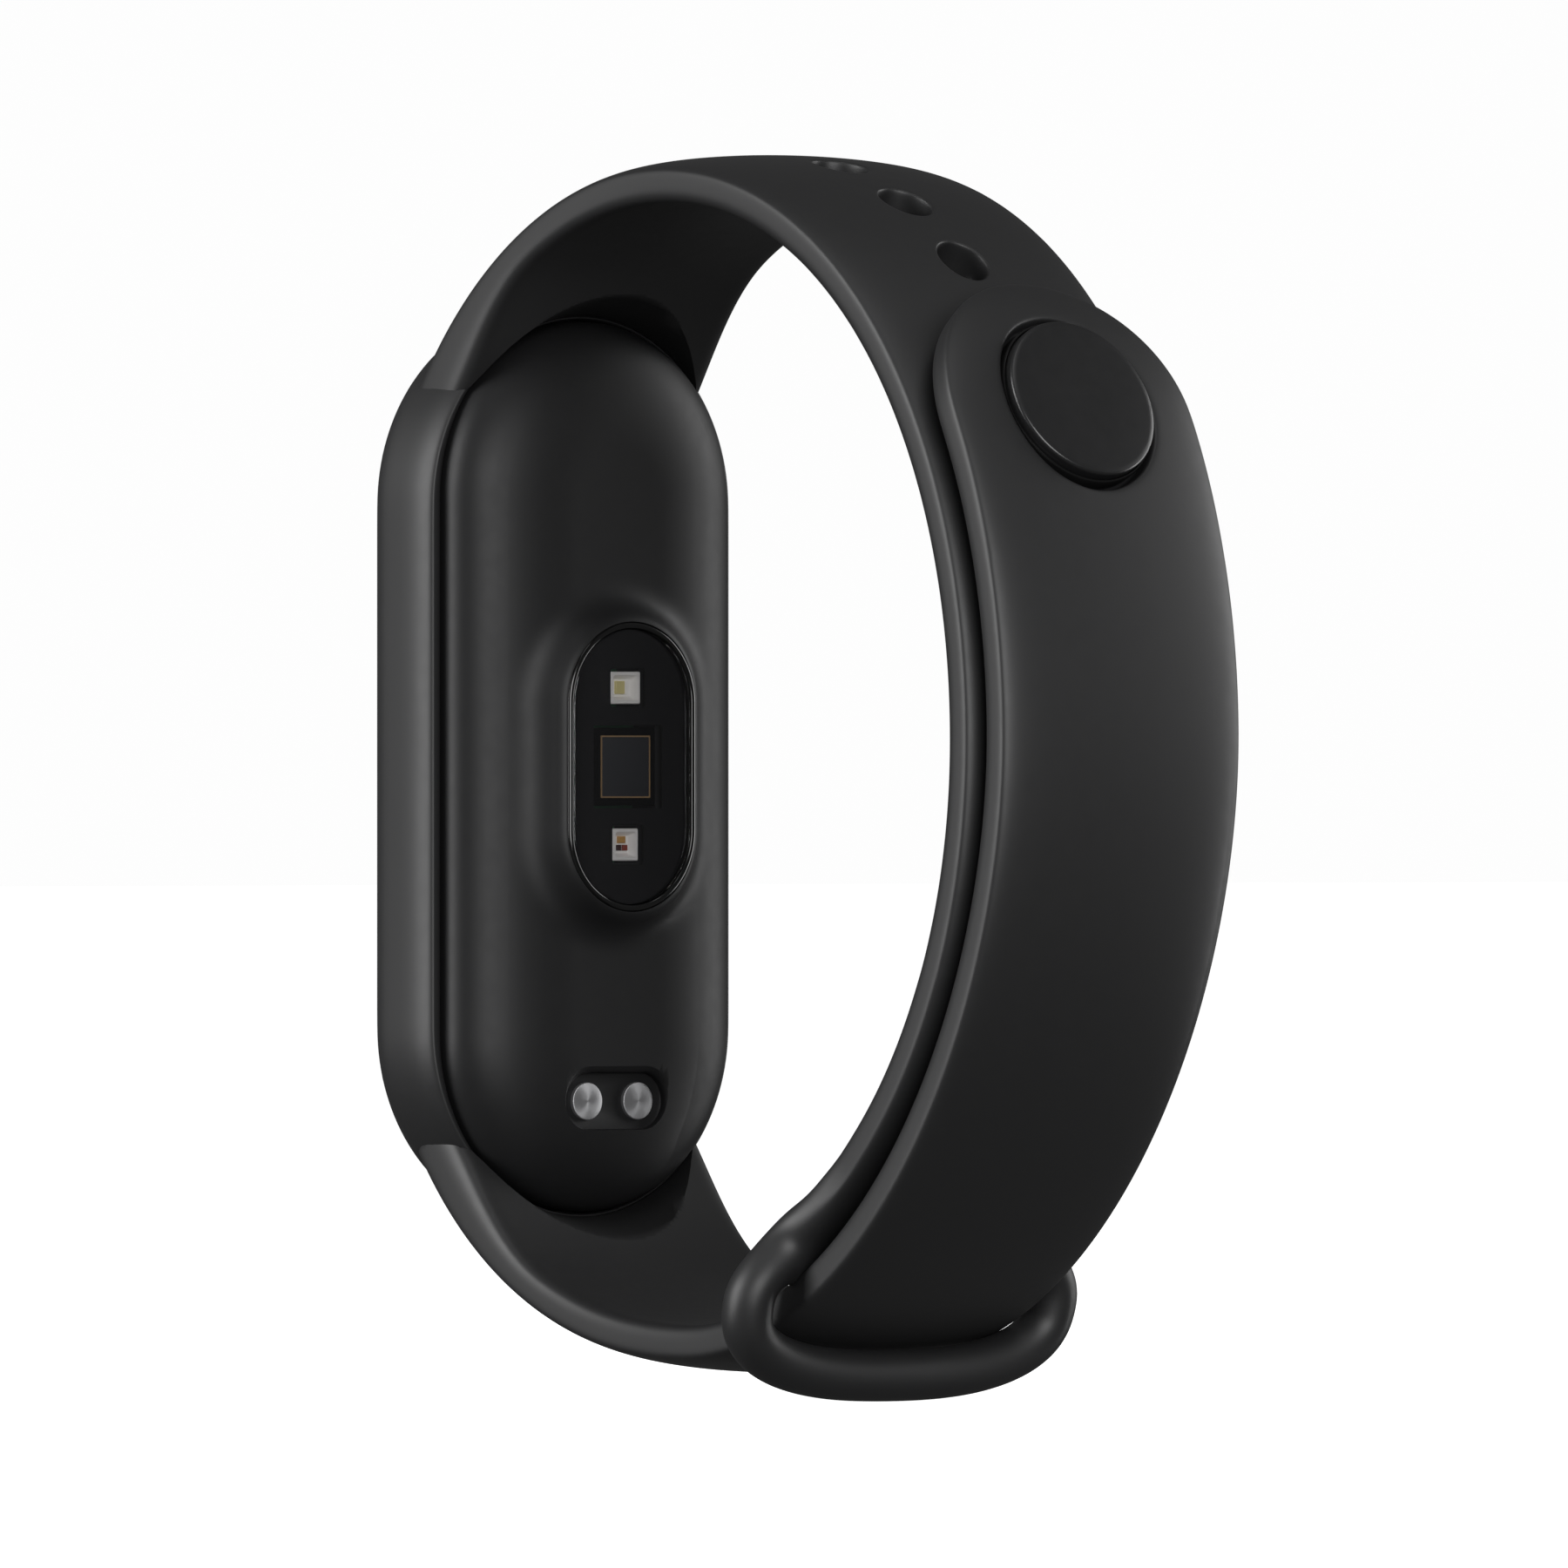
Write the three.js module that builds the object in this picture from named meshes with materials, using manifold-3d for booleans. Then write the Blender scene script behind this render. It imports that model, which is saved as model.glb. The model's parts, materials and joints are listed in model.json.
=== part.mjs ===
// Fitness tracker band, buckled: a pill-shaped tracker in a rubber holder, with a holed strap that ends in a
// keeper loop and a stud strap that passes through the loop and snaps into one of the holes.
// Millimetres. +X across the wrist, -Y out of the screen, +Y towards the stud, +Z up along the tracker.
// The origin is the centre of the wrist opening.
import * as THREE from "three";
import { mergeVertices } from "three/addons/utils/BufferGeometryUtils.js";
import Module from "manifold-3d";

const wasm = await Module();
wasm.setup();

// ---- Driving dimensions ----
const STRAP = { halfWidth: 7.95, thickness: 2.6, gap: 0.4, rootExtra: 0.4 }; // gap: between the two layers
const EDGE = { flat: 0.92, low: 0.5, side: 1.6 }; // the strap's long edges, in its section
const OUTER_LAYER = STRAP.thickness + STRAP.gap;
// Each strap's wrist side, quarter by quarter, as [y, z]. Angles are counted up from +Y.
const HOLED_PATH = [
  { from: 90, centre: [0.8, 0], semi: [23.4, 29.4], power: 2.07 },
  { from: 0, centre: [0.8, 1.3], semi: [23.6, 28.1], power: 2.04 },
  { from: -90, centre: [0.8, 1.3], semi: [23.6, 27.2], power: 2 },
];
const STUD_PATH = [
  { from: -90, centre: [3, 1.3], semi: [21.4 + OUTER_LAYER, 30.4], power: 1.85 },
  { from: -180, centre: [3, 0], semi: [25.6, 29.1], power: 2.28 },
];
const ROOT_ANGLE = 139; // where both straps leave the holder, above and below
const HOLED_END = -63.5; // where the holed strap becomes the keeper loop
const KEEPER = {
  tube: 1.35,
  halfWidth: 10.2,
  power: 2.5, // the loop is a superellipse in its own plane
  bottomY: 10.1,
  bottomZ: -31.7,
  flare: 1.2,
  flareSpan: 12, // degrees
};
const HOLE = { radius: 1.5, pitch: 5.1, above: 4, below: 5 }; // counted from the stud's hole
const STUD_ANGLE = 32; // where the stud sits along the paths
const STUD = {
  capRadius: 4.4,
  recessRadius: 4.7,
  recessDepth: 1.15,
  seatGap: 0.1,
  pinRadius: 0.55,
  pinLength: 1.2,
  boreRadius: 1.3,
  postRadius: 0.95,
  headRadius: 1.1,
};
const TIP = { radius: STRAP.halfWidth, shift: -0.5 }; // the round end's centre lies this far past the stud
const HINGE_DEPTH = 0.1; // of the tail's hinge line, under its outer face
const TRACKER = { halfWidth: 9.25, halfLength: 23.45, front: -20.9, rim: -15.5, back: -12.4, wall: 1.1 };
const GLASS_FRONT = -23.4;
const BUMP = { halfWidth: 4.6, halfLength: 7.95, back: -11.2 };
const WINDOW = { halfWidth: 4.1, halfLength: 7.45 };
const HOLDER = { wall: 1, endWall: 0.55, front: -20.3, clearance: 0.12 };
const RAMP = { out: 1.3, depth: 2.2 }; // the ramp at the holder's ends, beside the tracker
const CONTACT = { radius: 1, spacing: 3.4, z: -17.6, floor: -13.05, top: -12.85 };
const MOTOR = { radius: 4, z: -12.5, front: -19.4, back: -16.4 };
const FIT = 0.3; // gap between two pieces that touch
const PILL_POINTS = 40; // corners of every pill outline, so that nested outlines stay parallel

// ---- Materials ----
function finish(color, roughness, metalness = 0) {
  return new THREE.MeshStandardMaterial({ color, roughness, metalness });
}
const tpu = finish(0x1b1b1b, 0.6);
const shellPlastic = finish(0x161616, 0.5);
const coverGlass = finish(0x050506, 0.08);
const glossPlastic = finish(0x080808, 0.15);
const satinCap = finish(0x1a1a1a, 0.45);
const blackPlastic = finish(0x101010, 0.6);
const displayFilm = finish(0x08080c, 0.2);
const boardGreen = finish(0x12301f, 0.5);
const chipBlack = finish(0x141416, 0.55);
const foil = finish(0xb8bcc0, 0.35, 0.8);
const steel = finish(0x9a9a9a, 0.35, 1);
const brass = finish(0xb08a4a, 0.4, 1);
const ceramic = finish(0xd8d4cc, 0.5);
const silicon = finish(0x24282c, 0.15);
const polyimide = finish(0x8a5a1c, 0.5);
const foam = finish(0x2a2a2a, 0.95);

// ---- Solids ----
function toSolid(geometry) {
  const plain = geometry.index ? geometry.toNonIndexed() : geometry.clone();
  const bare = new THREE.BufferGeometry().setAttribute("position", plain.getAttribute("position"));
  const merged = mergeVertices(bare, 1e-4);
  return new wasm.Manifold(
    new wasm.Mesh({
      numProp: 3,
      vertProperties: merged.attributes.position.array,
      triVerts: new Uint32Array(merged.index.array),
    }),
  );
}

function toGeometry(solid) {
  const { vertProperties, triVerts } = solid.getMesh();
  const geometry = new THREE.BufferGeometry();
  geometry.setAttribute("position", new THREE.BufferAttribute(vertProperties, 3));
  geometry.setIndex(new THREE.BufferAttribute(triVerts, 1));
  return geometry;
}

function cut(geometry, ...tools) {
  return toGeometry(tools.reduce((solid, tool) => solid.subtract(toSolid(tool)), toSolid(geometry)));
}

function join(...geometries) {
  return toGeometry(geometries.map(toSolid).reduce((all, solid) => all.add(solid)));
}

function common(a, b) {
  return toGeometry(toSolid(a).intersect(toSolid(b)));
}

// A closed skin over rings of points. Open rows of rings get a flat cap at each end.
function skin(rings, closed = false) {
  const count = rings[0].length;
  const points = rings.flat();
  const faces = [];
  const last = closed ? rings.length : rings.length - 1;
  for (let i = 0; i < last; i++) {
    const a = i * count;
    const b = ((i + 1) % rings.length) * count;
    for (let j = 0; j < count; j++) {
      const k = (j + 1) % count;
      faces.push(a + j, a + k, b + k, a + j, b + k, b + j);
    }
  }
  if (!closed) {
    [0, rings.length - 1].forEach((ring) => {
      const centre = points.length;
      points.push(rings[ring].reduce((sum, p) => sum.add(p), new THREE.Vector3()).divideScalar(count));
      for (let j = 0; j < count; j++) {
        const edge = [ring * count + j, ring * count + ((j + 1) % count)];
        faces.push(...(ring ? edge : edge.reverse()), centre);
      }
    });
  }
  const geometry = new THREE.BufferGeometry().setFromPoints(points);
  geometry.setIndex(faces);
  return toSolid(geometry).volume() < 0 ? flipped(geometry) : geometry;
}

function flipped(geometry) {
  const index = geometry.index.array;
  for (let i = 0; i < index.length; i += 3) {
    [index[i + 1], index[i + 2]] = [index[i + 2], index[i + 1]];
  }
  return geometry;
}

// ---- Pill outlines, which lie across Y ----
function pillRing(halfWidth, halfLength, y) {
  const straight = halfLength - halfWidth;
  const steps = PILL_POINTS / 2 - 1;
  return Array.from({ length: PILL_POINTS }, (_, k) => {
    const lower = k > steps;
    const angle = (Math.PI * (lower ? k - 1 : k)) / steps;
    const z = halfWidth * Math.sin(angle) + (lower ? -straight : straight);
    return new THREE.Vector3(halfWidth * Math.cos(angle), y, z);
  });
}

// A pill whose outline steps in from the tracker's own by each [inset, y] of the profile.
function insetPill(profile, base = TRACKER) {
  return skin(profile.map(([inset, y]) => pillRing(base.halfWidth - inset, base.halfLength - inset, y)));
}

function pillSlab(halfWidth, halfLength, yFront, yBack, z = 0) {
  const rings = [yFront, yBack].map((y) => pillRing(halfWidth, halfLength, y));
  return skin(rings).translate(0, 0, z);
}

function slab([x0, x1], [y0, y1], [z0, z1]) {
  const box = new THREE.BoxGeometry(x1 - x0, y1 - y0, z1 - z0);
  return box.translate((x0 + x1) / 2, (y0 + y1) / 2, (z0 + z1) / 2);
}

function disc(radius, yFront, yBack, x = 0, z = 0, sides = 28) {
  const cylinder = new THREE.CylinderGeometry(radius, radius, yBack - yFront, sides);
  return cylinder.translate(x, (yFront + yBack) / 2, z);
}

// ---- The two straps' paths round the wrist ----
// A path is a row of quarter curves, each a superellipse. At offset 0 it runs along the strap's wrist side.
function onQuarters(quarters, degrees) {
  const { centre, semi, power } = quarters.find(({ from }) => degrees >= from);
  const a = THREE.MathUtils.degToRad(degrees);
  const [c, s] = [Math.cos(a), Math.sin(a)];
  const swell = (v) => Math.sign(v) * Math.abs(v) ** (2 / power);
  const lean = (v) => Math.sign(v) * Math.abs(v) ** (2 - 2 / power);
  return {
    point: new THREE.Vector3(0, centre[0] + semi[0] * swell(c), centre[1] + semi[1] * swell(s)),
    normal: new THREE.Vector3(0, lean(c) / semi[0], lean(s) / semi[1]).normalize(),
  };
}

function onHoled(degrees, offset = 0) {
  const { point, normal } = onQuarters(HOLED_PATH, degrees);
  return { point: point.addScaledVector(normal, offset), normal };
}

// The stud strap lies on the outside of the holed strap from where the path turns upward.
function onStud(degrees, offset = 0) {
  if (degrees >= 0) {
    return onHoled(degrees, OUTER_LAYER + offset);
  }
  const { point, normal } = onQuarters(STUD_PATH, degrees);
  return { point: point.addScaledVector(normal, offset), normal };
}

// The angle reached by going a distance along a path from another angle.
function walk(path, from, distance, offset) {
  const step = 0.05 * Math.sign(distance);
  let degrees = from;
  let gone = 0;
  while (gone < Math.abs(distance)) {
    gone += path(degrees, offset).point.distanceTo(path(degrees + step, offset).point);
    degrees += step;
  }
  return degrees;
}

const smooth = (x, low, high) => THREE.MathUtils.smoothstep(x, low, high);

// The strap's section, as [share of the half width, height]: flat against the wrist and domed outside.
const DOME_STEPS = 8;
const section = [
  [-EDGE.flat, 0],
  [-1, EDGE.low],
];
for (let k = 0; k <= DOME_STEPS; k++) {
  const a = Math.PI * (1 - k / DOME_STEPS);
  section.push([Math.cos(a), EDGE.side + (STRAP.thickness - EDGE.side) * Math.sin(a)]);
}
section.push([1, EDGE.low], [EDGE.flat, 0]);

function strapSweep(path, fromDegrees, toDegrees, halfWidthAt = () => STRAP.halfWidth) {
  const stations = Math.ceil(Math.abs(toDegrees - fromDegrees) / 4.5);
  const rings = Array.from({ length: stations + 1 }, (_, i) => {
    const degrees = THREE.MathUtils.lerp(fromDegrees, toDegrees, i / stations);
    const { point, normal } = path(degrees);
    return section.map(([x, height]) =>
      point.clone().setX(x * halfWidthAt(degrees)).addScaledVector(normal, height),
    );
  });
  return skin(rings);
}

// Places a geometry made along +Y so that its +Y is the strap's outward normal there.
function seatOnStrap(geometry, degrees, offset) {
  const { point, normal } = onHoled(degrees, offset);
  const turn = new THREE.Quaternion().setFromUnitVectors(new THREE.Vector3(0, 1, 0), normal);
  return geometry.applyQuaternion(turn).translate(...point.toArray());
}

// ---- Band: the holder and the two straps ----
const holderBase = {
  halfWidth: TRACKER.halfWidth + HOLDER.clearance + HOLDER.wall,
  halfLength: TRACKER.halfLength + HOLDER.clearance + HOLDER.endWall,
};

function capsuleHolder() {
  const profile = [
    [0.7, HOLDER.front],
    [0.18, HOLDER.front + 0.3],
    [0, HOLDER.front + 1.1],
    [0, TRACKER.rim - 1.6],
    [0.2, TRACKER.rim - 0.7],
    [0.6, TRACKER.rim],
  ];
  const pocket = insetPill([
    [-HOLDER.clearance, HOLDER.front - 1],
    [-HOLDER.clearance, TRACKER.rim + 1],
  ]);
  return cut(insetPill(profile, holderBase), pocket);
}

// Both strap roots are cut back from the holder, with a ramp round the tracker's end.
function clearOfHolder(strap) {
  const holder = insetPill(
    [
      [-FIT, HOLDER.front - 4],
      [-FIT, TRACKER.rim + FIT],
    ],
    holderBase,
  );
  const ramp = insetPill([
    [-FIT, TRACKER.rim],
    [-RAMP.out, TRACKER.rim + RAMP.depth],
    [-RAMP.out, 0],
  ]);
  return cut(strap, holder, ramp);
}

function strapHole(degrees) {
  const hole = new THREE.CylinderGeometry(HOLE.radius, HOLE.radius, 3 * STRAP.thickness, 20);
  return seatOnStrap(hole, degrees, STRAP.thickness / 2);
}

function strapHoled() {
  const halfWidth = (degrees) => {
    const flare = KEEPER.flare * (1 - smooth(degrees, HOLED_END, HOLED_END + KEEPER.flareSpan));
    return STRAP.halfWidth + flare + STRAP.rootExtra * smooth(degrees, 100, ROOT_ANGLE);
  };
  const sweep = strapSweep(onHoled, ROOT_ANGLE, HOLED_END, halfWidth);
  const holes = [];
  for (let n = -HOLE.below; n <= HOLE.above; n++) {
    holes.push(strapHole(n ? walk(onHoled, STUD_ANGLE, n * HOLE.pitch, STRAP.thickness / 2) : STUD_ANGLE));
  }
  return cut(clearOfHolder(sweep), ...holes, keeperTube(KEEPER.tube + FIT));
}

// The keeper loop: a round tube bent to a superellipse that leans out from the end of the holed strap.
function keeperTube(radius) {
  const top = onHoled(HOLED_END, STRAP.thickness / 2).point;
  const bottom = new THREE.Vector3(0, KEEPER.bottomY, KEEPER.bottomZ);
  const down = bottom.clone().sub(top);
  const length = down.length();
  down.normalize();
  const semi = [KEEPER.halfWidth, length / 2];
  const middle = top.clone().addScaledVector(down, length / 2);
  const sides = 12;
  const turns = 32;
  const face = new THREE.Vector3(1, 0, 0).cross(down); // square to the loop's plane
  const rings = Array.from({ length: turns }, (_, i) => {
    const angle = (2 * Math.PI * (i + 0.5)) / turns;
    const circle = [Math.cos(angle), Math.sin(angle)];
    const signedPower = (v, power) => Math.sign(v) * Math.abs(v) ** power;
    const [x, along] = circle.map((v, k) => semi[k] * signedPower(v, 2 / KEEPER.power));
    const [leanX, leanDown] = circle.map((v, k) => signedPower(v, 2 - 2 / KEEPER.power) / semi[k]);
    const outward = new THREE.Vector3(leanX, 0, 0).addScaledVector(down, leanDown).normalize();
    const centre = middle.clone().setX(x).addScaledVector(down, along);
    return Array.from({ length: sides }, (_, k) => {
      const a = (2 * Math.PI * k) / sides;
      const spoke = outward.clone().multiplyScalar(Math.cos(a)).addScaledVector(face, Math.sin(a));
      return centre.clone().addScaledVector(spoke, radius);
    });
  });
  return skin(rings, true);
}

// The tail turns about a line across the strap that is level with the stud's seat, so that the stud leaves its
// hole along its own axis. The line lies just under the strap's outer face, so the cut beneath it only opens.
const studSeat = onHoled(STUD_ANGLE, STRAP.thickness / 2);
const hingeOffset = STRAP.thickness - HINGE_DEPTH;
let splitAngle = STUD_ANGLE;
while (onStud(splitAngle, hingeOffset).point.sub(studSeat.point).dot(studSeat.normal) > 0) {
  splitAngle -= 0.05;
}
const hinge = onStud(splitAngle, hingeOffset);

// A block that starts half a gap short of the cut across the stud strap: 1 is the tail side, -1 the other.
function besideCut(side) {
  const block = new THREE.BoxGeometry(30, 30, 90).translate(0, 0, side * (45 - FIT / 2));
  const turn = new THREE.Quaternion().setFromUnitVectors(new THREE.Vector3(0, 1, 0), hinge.normal);
  return block.applyQuaternion(turn).translate(...hinge.point.toArray());
}

function strapPlain() {
  const halfWidth = (degrees) => STRAP.halfWidth + STRAP.rootExtra * smooth(-degrees, 100, ROOT_ANGLE);
  const sweep = strapSweep(onStud, -ROOT_ANGLE, splitAngle + 5, halfWidth);
  return cut(clearOfHolder(sweep), besideCut(1));
}

const outerFace = OUTER_LAYER + STRAP.thickness;

// A disc-shaped tool on the stud's axis, open outwards.
function studBore(radius, depth, sides = 36) {
  const height = 4;
  const tool = new THREE.CylinderGeometry(radius, radius, depth + height, sides);
  return seatOnStrap(tool.translate(0, (height - depth) / 2, 0), STUD_ANGLE, outerFace);
}

function strapTail() {
  const sweep = strapSweep(onStud, splitAngle - 5, STUD_ANGLE + 22);
  const outline = new THREE.Shape();
  outline.moveTo(-TIP.radius, -30);
  outline.lineTo(TIP.radius, -30);
  outline.absarc(0, TIP.shift, TIP.radius, 0, Math.PI, false);
  const depth = 24;
  const prism = new THREE.ExtrudeGeometry(outline, { depth, bevelEnabled: false, curveSegments: 24 });
  prism.rotateX(Math.PI / 2).translate(0, depth / 2, 0);
  seatOnStrap(prism, STUD_ANGLE, outerFace);
  const holed = common(sweep, prism);
  return cut(holed, besideCut(-1), studBore(STUD.recessRadius, STUD.recessDepth), studBore(STUD.boreRadius, 8, 24));
}

// Round pieces on the stud's axis, from [radius, height above the tail's outer face] profiles.
function onStudAxis(profile, sides = 36) {
  const points = profile.map(([r, h]) => new THREE.Vector2(r, h));
  return seatOnStrap(new THREE.LatheGeometry(points, sides), STUD_ANGLE, outerFace);
}

// The cap has a pin underneath, which the post is pressed on to.
function studCap() {
  const floor = STUD.seatGap - STUD.recessDepth;
  return onStudAxis([
    [0, floor - STUD.pinLength],
    [STUD.pinRadius, floor - STUD.pinLength],
    [STUD.pinRadius, floor],
    [STUD.capRadius, floor],
    [STUD.capRadius, 0],
    [STUD.capRadius - 0.4, 0.35],
    [0, 0.4],
  ]);
}

// The post is a sleeve with a blunt head that sits in the hole of the strap underneath.
function studPost() {
  const top = -STUD.recessDepth - 0.05;
  const end = -2 * STRAP.thickness - STRAP.gap + 0.35;
  const socket = STUD.pinRadius + 0.1;
  const socketEnd = STUD.seatGap - STUD.recessDepth - STUD.pinLength - 0.15;
  return onStudAxis(
    [
      [0, end],
      [0.7, end],
      [STUD.headRadius, end + 0.4],
      [STUD.headRadius, end + 0.9],
      [STUD.postRadius, end + 1.3],
      [STUD.postRadius, top],
      [socket, top],
      [socket, socketEnd],
      [0, socketEnd],
    ],
    24,
  );
}

// A thin washer lines the recess and shows as a ring round the cap.
function studRing() {
  const floor = 0.05 - STUD.recessDepth;
  const inner = STUD.capRadius + 0.08;
  const outer = STUD.recessRadius - 0.05;
  return onStudAxis([
    [inner, floor],
    [outer, floor],
    [outer, -0.25],
    [inner, -0.25],
    [inner, floor],
  ]);
}

// ---- Tracker ----
function rearCover() {
  const { front, rim, back, wall } = TRACKER;
  const outer = insetPill([
    [0.1, front],
    [0, front + 0.3],
    [0, rim],
    [0.12, rim + 0.75],
    [0.5, rim + 1.4],
    [1.15, rim + 1.95],
    [2.1, rim + 2.35],
    [3.6, rim + 2.75],
    [5.6, back],
  ]);
  const bump = skin(
    [
      [1.9, back - 0.35],
      [1.15, back - 0.05],
      [0.6, back + 0.35],
      [0.25, back + 0.9],
      [0.08, BUMP.back - 0.15],
      [-0.1, BUMP.back],
    ].map(([out, y]) => pillRing(BUMP.halfWidth + out, BUMP.halfLength + out, y)),
  );
  const cavity = insetPill([
    [wall, front - 1],
    [wall, rim - 0.1],
    [wall + 0.4, rim + 0.7],
    [wall + 1.4, rim + 1.3],
    [wall + 2.6, back - 1.1],
  ]);
  const opening = pillSlab(WINDOW.halfWidth + 0.3, WINDOW.halfLength + 0.3, back - 2.5, BUMP.back + 1);
  const recess = pillRing(1.5, 3.35, CONTACT.floor).map((p) => new THREE.Vector3(p.z, p.y, p.x + CONTACT.z));
  const recessTool = skin([recess, recess.map((p) => p.clone().setY(back + 1))]);
  const pinHoles = [-1, 1].map((side) =>
    disc(0.75, back - 3, back, (side * CONTACT.spacing) / 2, CONTACT.z, 16),
  );
  return cut(join(outer, bump), cavity, opening, recessTool, ...pinHoles);
}

function frontGlass() {
  const { front } = TRACKER;
  return insetPill([
    [0.4, front - 0.1],
    [0.55, front - 0.85],
    [1.15, front - 1.55],
    [2.2, GLASS_FRONT + 0.15],
    [3.4, GLASS_FRONT],
  ]);
}

function glassAdhesive() {
  const { front, wall } = TRACKER;
  const ring = insetPill([
    [wall + 0.1, front],
    [wall + 0.1, front + 0.3],
  ]);
  return cut(ring, pillSlab(7.2, 21.4, front - 1, front + 1));
}

const inside = {
  halfWidth: TRACKER.halfWidth - TRACKER.wall - FIT,
  halfLength: TRACKER.halfLength - TRACKER.wall - FIT,
};

function displayPanel() {
  return pillSlab(7.0, 21.2, TRACKER.front + 0.05, TRACKER.front + 0.75);
}

function displayFlex() {
  return join(
    slab([-4.5, 4.5], [-20.1, -19.9], [-20, -17.8]),
    slab([-2.5, 2.5], [-20.1, -16.2], [-20, -19.7]),
    slab([-2.5, 2.5], [-16.4, -16.2], [-20, -18.4]),
  );
}

function innerTray() {
  const plate = pillSlab(inside.halfWidth, inside.halfLength, -19.85, -19.55);
  return cut(plate, slab([-2.9, 2.9], [-21, -19], [-20.4, -19.3]));
}

function mainBoard() {
  const board = pillSlab(inside.halfWidth - 0.2, inside.halfLength - 0.2, -15.9, -15.3);
  return cut(board, slab([-10, -5.6], [-17, -14], [12, 15.5])); // a notch beside the antenna's end
}

function battery() {
  const shape = new THREE.Shape();
  shape.moveTo(-6, 1.2).lineTo(6, 1.2).lineTo(6, 19).lineTo(3.4, 20.8).lineTo(-3.4, 20.8).lineTo(-6, 19);
  const pouch = new THREE.ExtrudeGeometry(shape, {
    depth: 2.3,
    bevelThickness: 0.35,
    bevelSize: 0.35,
    bevelSegments: 2,
  });
  return pouch.rotateX(Math.PI / 2).translate(0, -16.55, 0);
}

const onBoard = (x, z, height) => slab(x, [-15.95 - height, -15.95], z);

function motorCase() {
  const { radius, front, back, z } = MOTOR;
  return cut(disc(radius, front, back, 0, z), disc(radius - 0.35, front - 1, back - 0.4, 0, z));
}

function motorCover() {
  return disc(MOTOR.radius - 0.45, MOTOR.front - 0.02, MOTOR.front + 0.25, 0, MOTOR.z);
}

function motorShaft() {
  return disc(0.4, MOTOR.front + 0.3, MOTOR.back - 0.45, 0, MOTOR.z, 16);
}

// The rotor is a hub with a half-disc weight, which hangs below the shaft.
function motorRotor() {
  const { front, back, z } = MOTOR;
  const half = new THREE.Shape();
  half.absarc(0, 0, 3.2, Math.PI, 2 * Math.PI);
  const weight = new THREE.ExtrudeGeometry(half, { depth: 1.2, bevelEnabled: false, curveSegments: 14 });
  weight.rotateX(Math.PI / 2).translate(0, front + 1.9, z);
  const hub = disc(1.1, front + 0.7, back - 0.6, 0, z, 20);
  return cut(join(hub, weight), disc(0.45, front, back, 0, z, 16));
}

function sensorBoard() {
  return pillSlab(WINDOW.halfWidth + 0.1, WINDOW.halfLength + 0.1, -14.6, -14.1);
}

function lightBarrier() {
  const frame = pillSlab(WINDOW.halfWidth + 0.1, WINDOW.halfLength + 0.1, -14.0, -12.15);
  return cut(
    frame,
    slab([-1.15, 1.15], [-16, -10], [3.15, 5.15]),
    slab([-2.25, 2.25], [-16, -10], [-2.2, 2.2]),
    slab([-1.0, 1.0], [-16, -10], [-5.05, -3.15]),
  );
}

function sensorWindow() {
  return pillSlab(WINDOW.halfWidth - 0.15, WINDOW.halfLength - 0.15, -12.05, BUMP.back);
}

function sensorBezel() {
  const ring = pillSlab(WINDOW.halfWidth + 0.2, WINDOW.halfLength + 0.2, -12.05, BUMP.back + 0.03);
  return cut(ring, pillSlab(WINDOW.halfWidth - 0.1, WINDOW.halfLength - 0.1, -14, -10));
}

function chargeContact(side) {
  const x = (side * CONTACT.spacing) / 2;
  const pin = disc(0.55, -15.2, CONTACT.floor + 0.1, x, CONTACT.z, 16);
  return join(pin, disc(CONTACT.radius, CONTACT.floor + 0.05, CONTACT.top, x, CONTACT.z));
}

function contactSeal(side) {
  const x = (side * CONTACT.spacing) / 2;
  const ring = disc(1.1, -14.05, -13.65, x, CONTACT.z, 20);
  return cut(ring, disc(0.65, -15, -13, x, CONTACT.z, 16));
}

function chargeMagnet(side) {
  return disc(1.2, -15.1, -14.1, side * 4.4, -16.4, 20);
}

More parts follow.
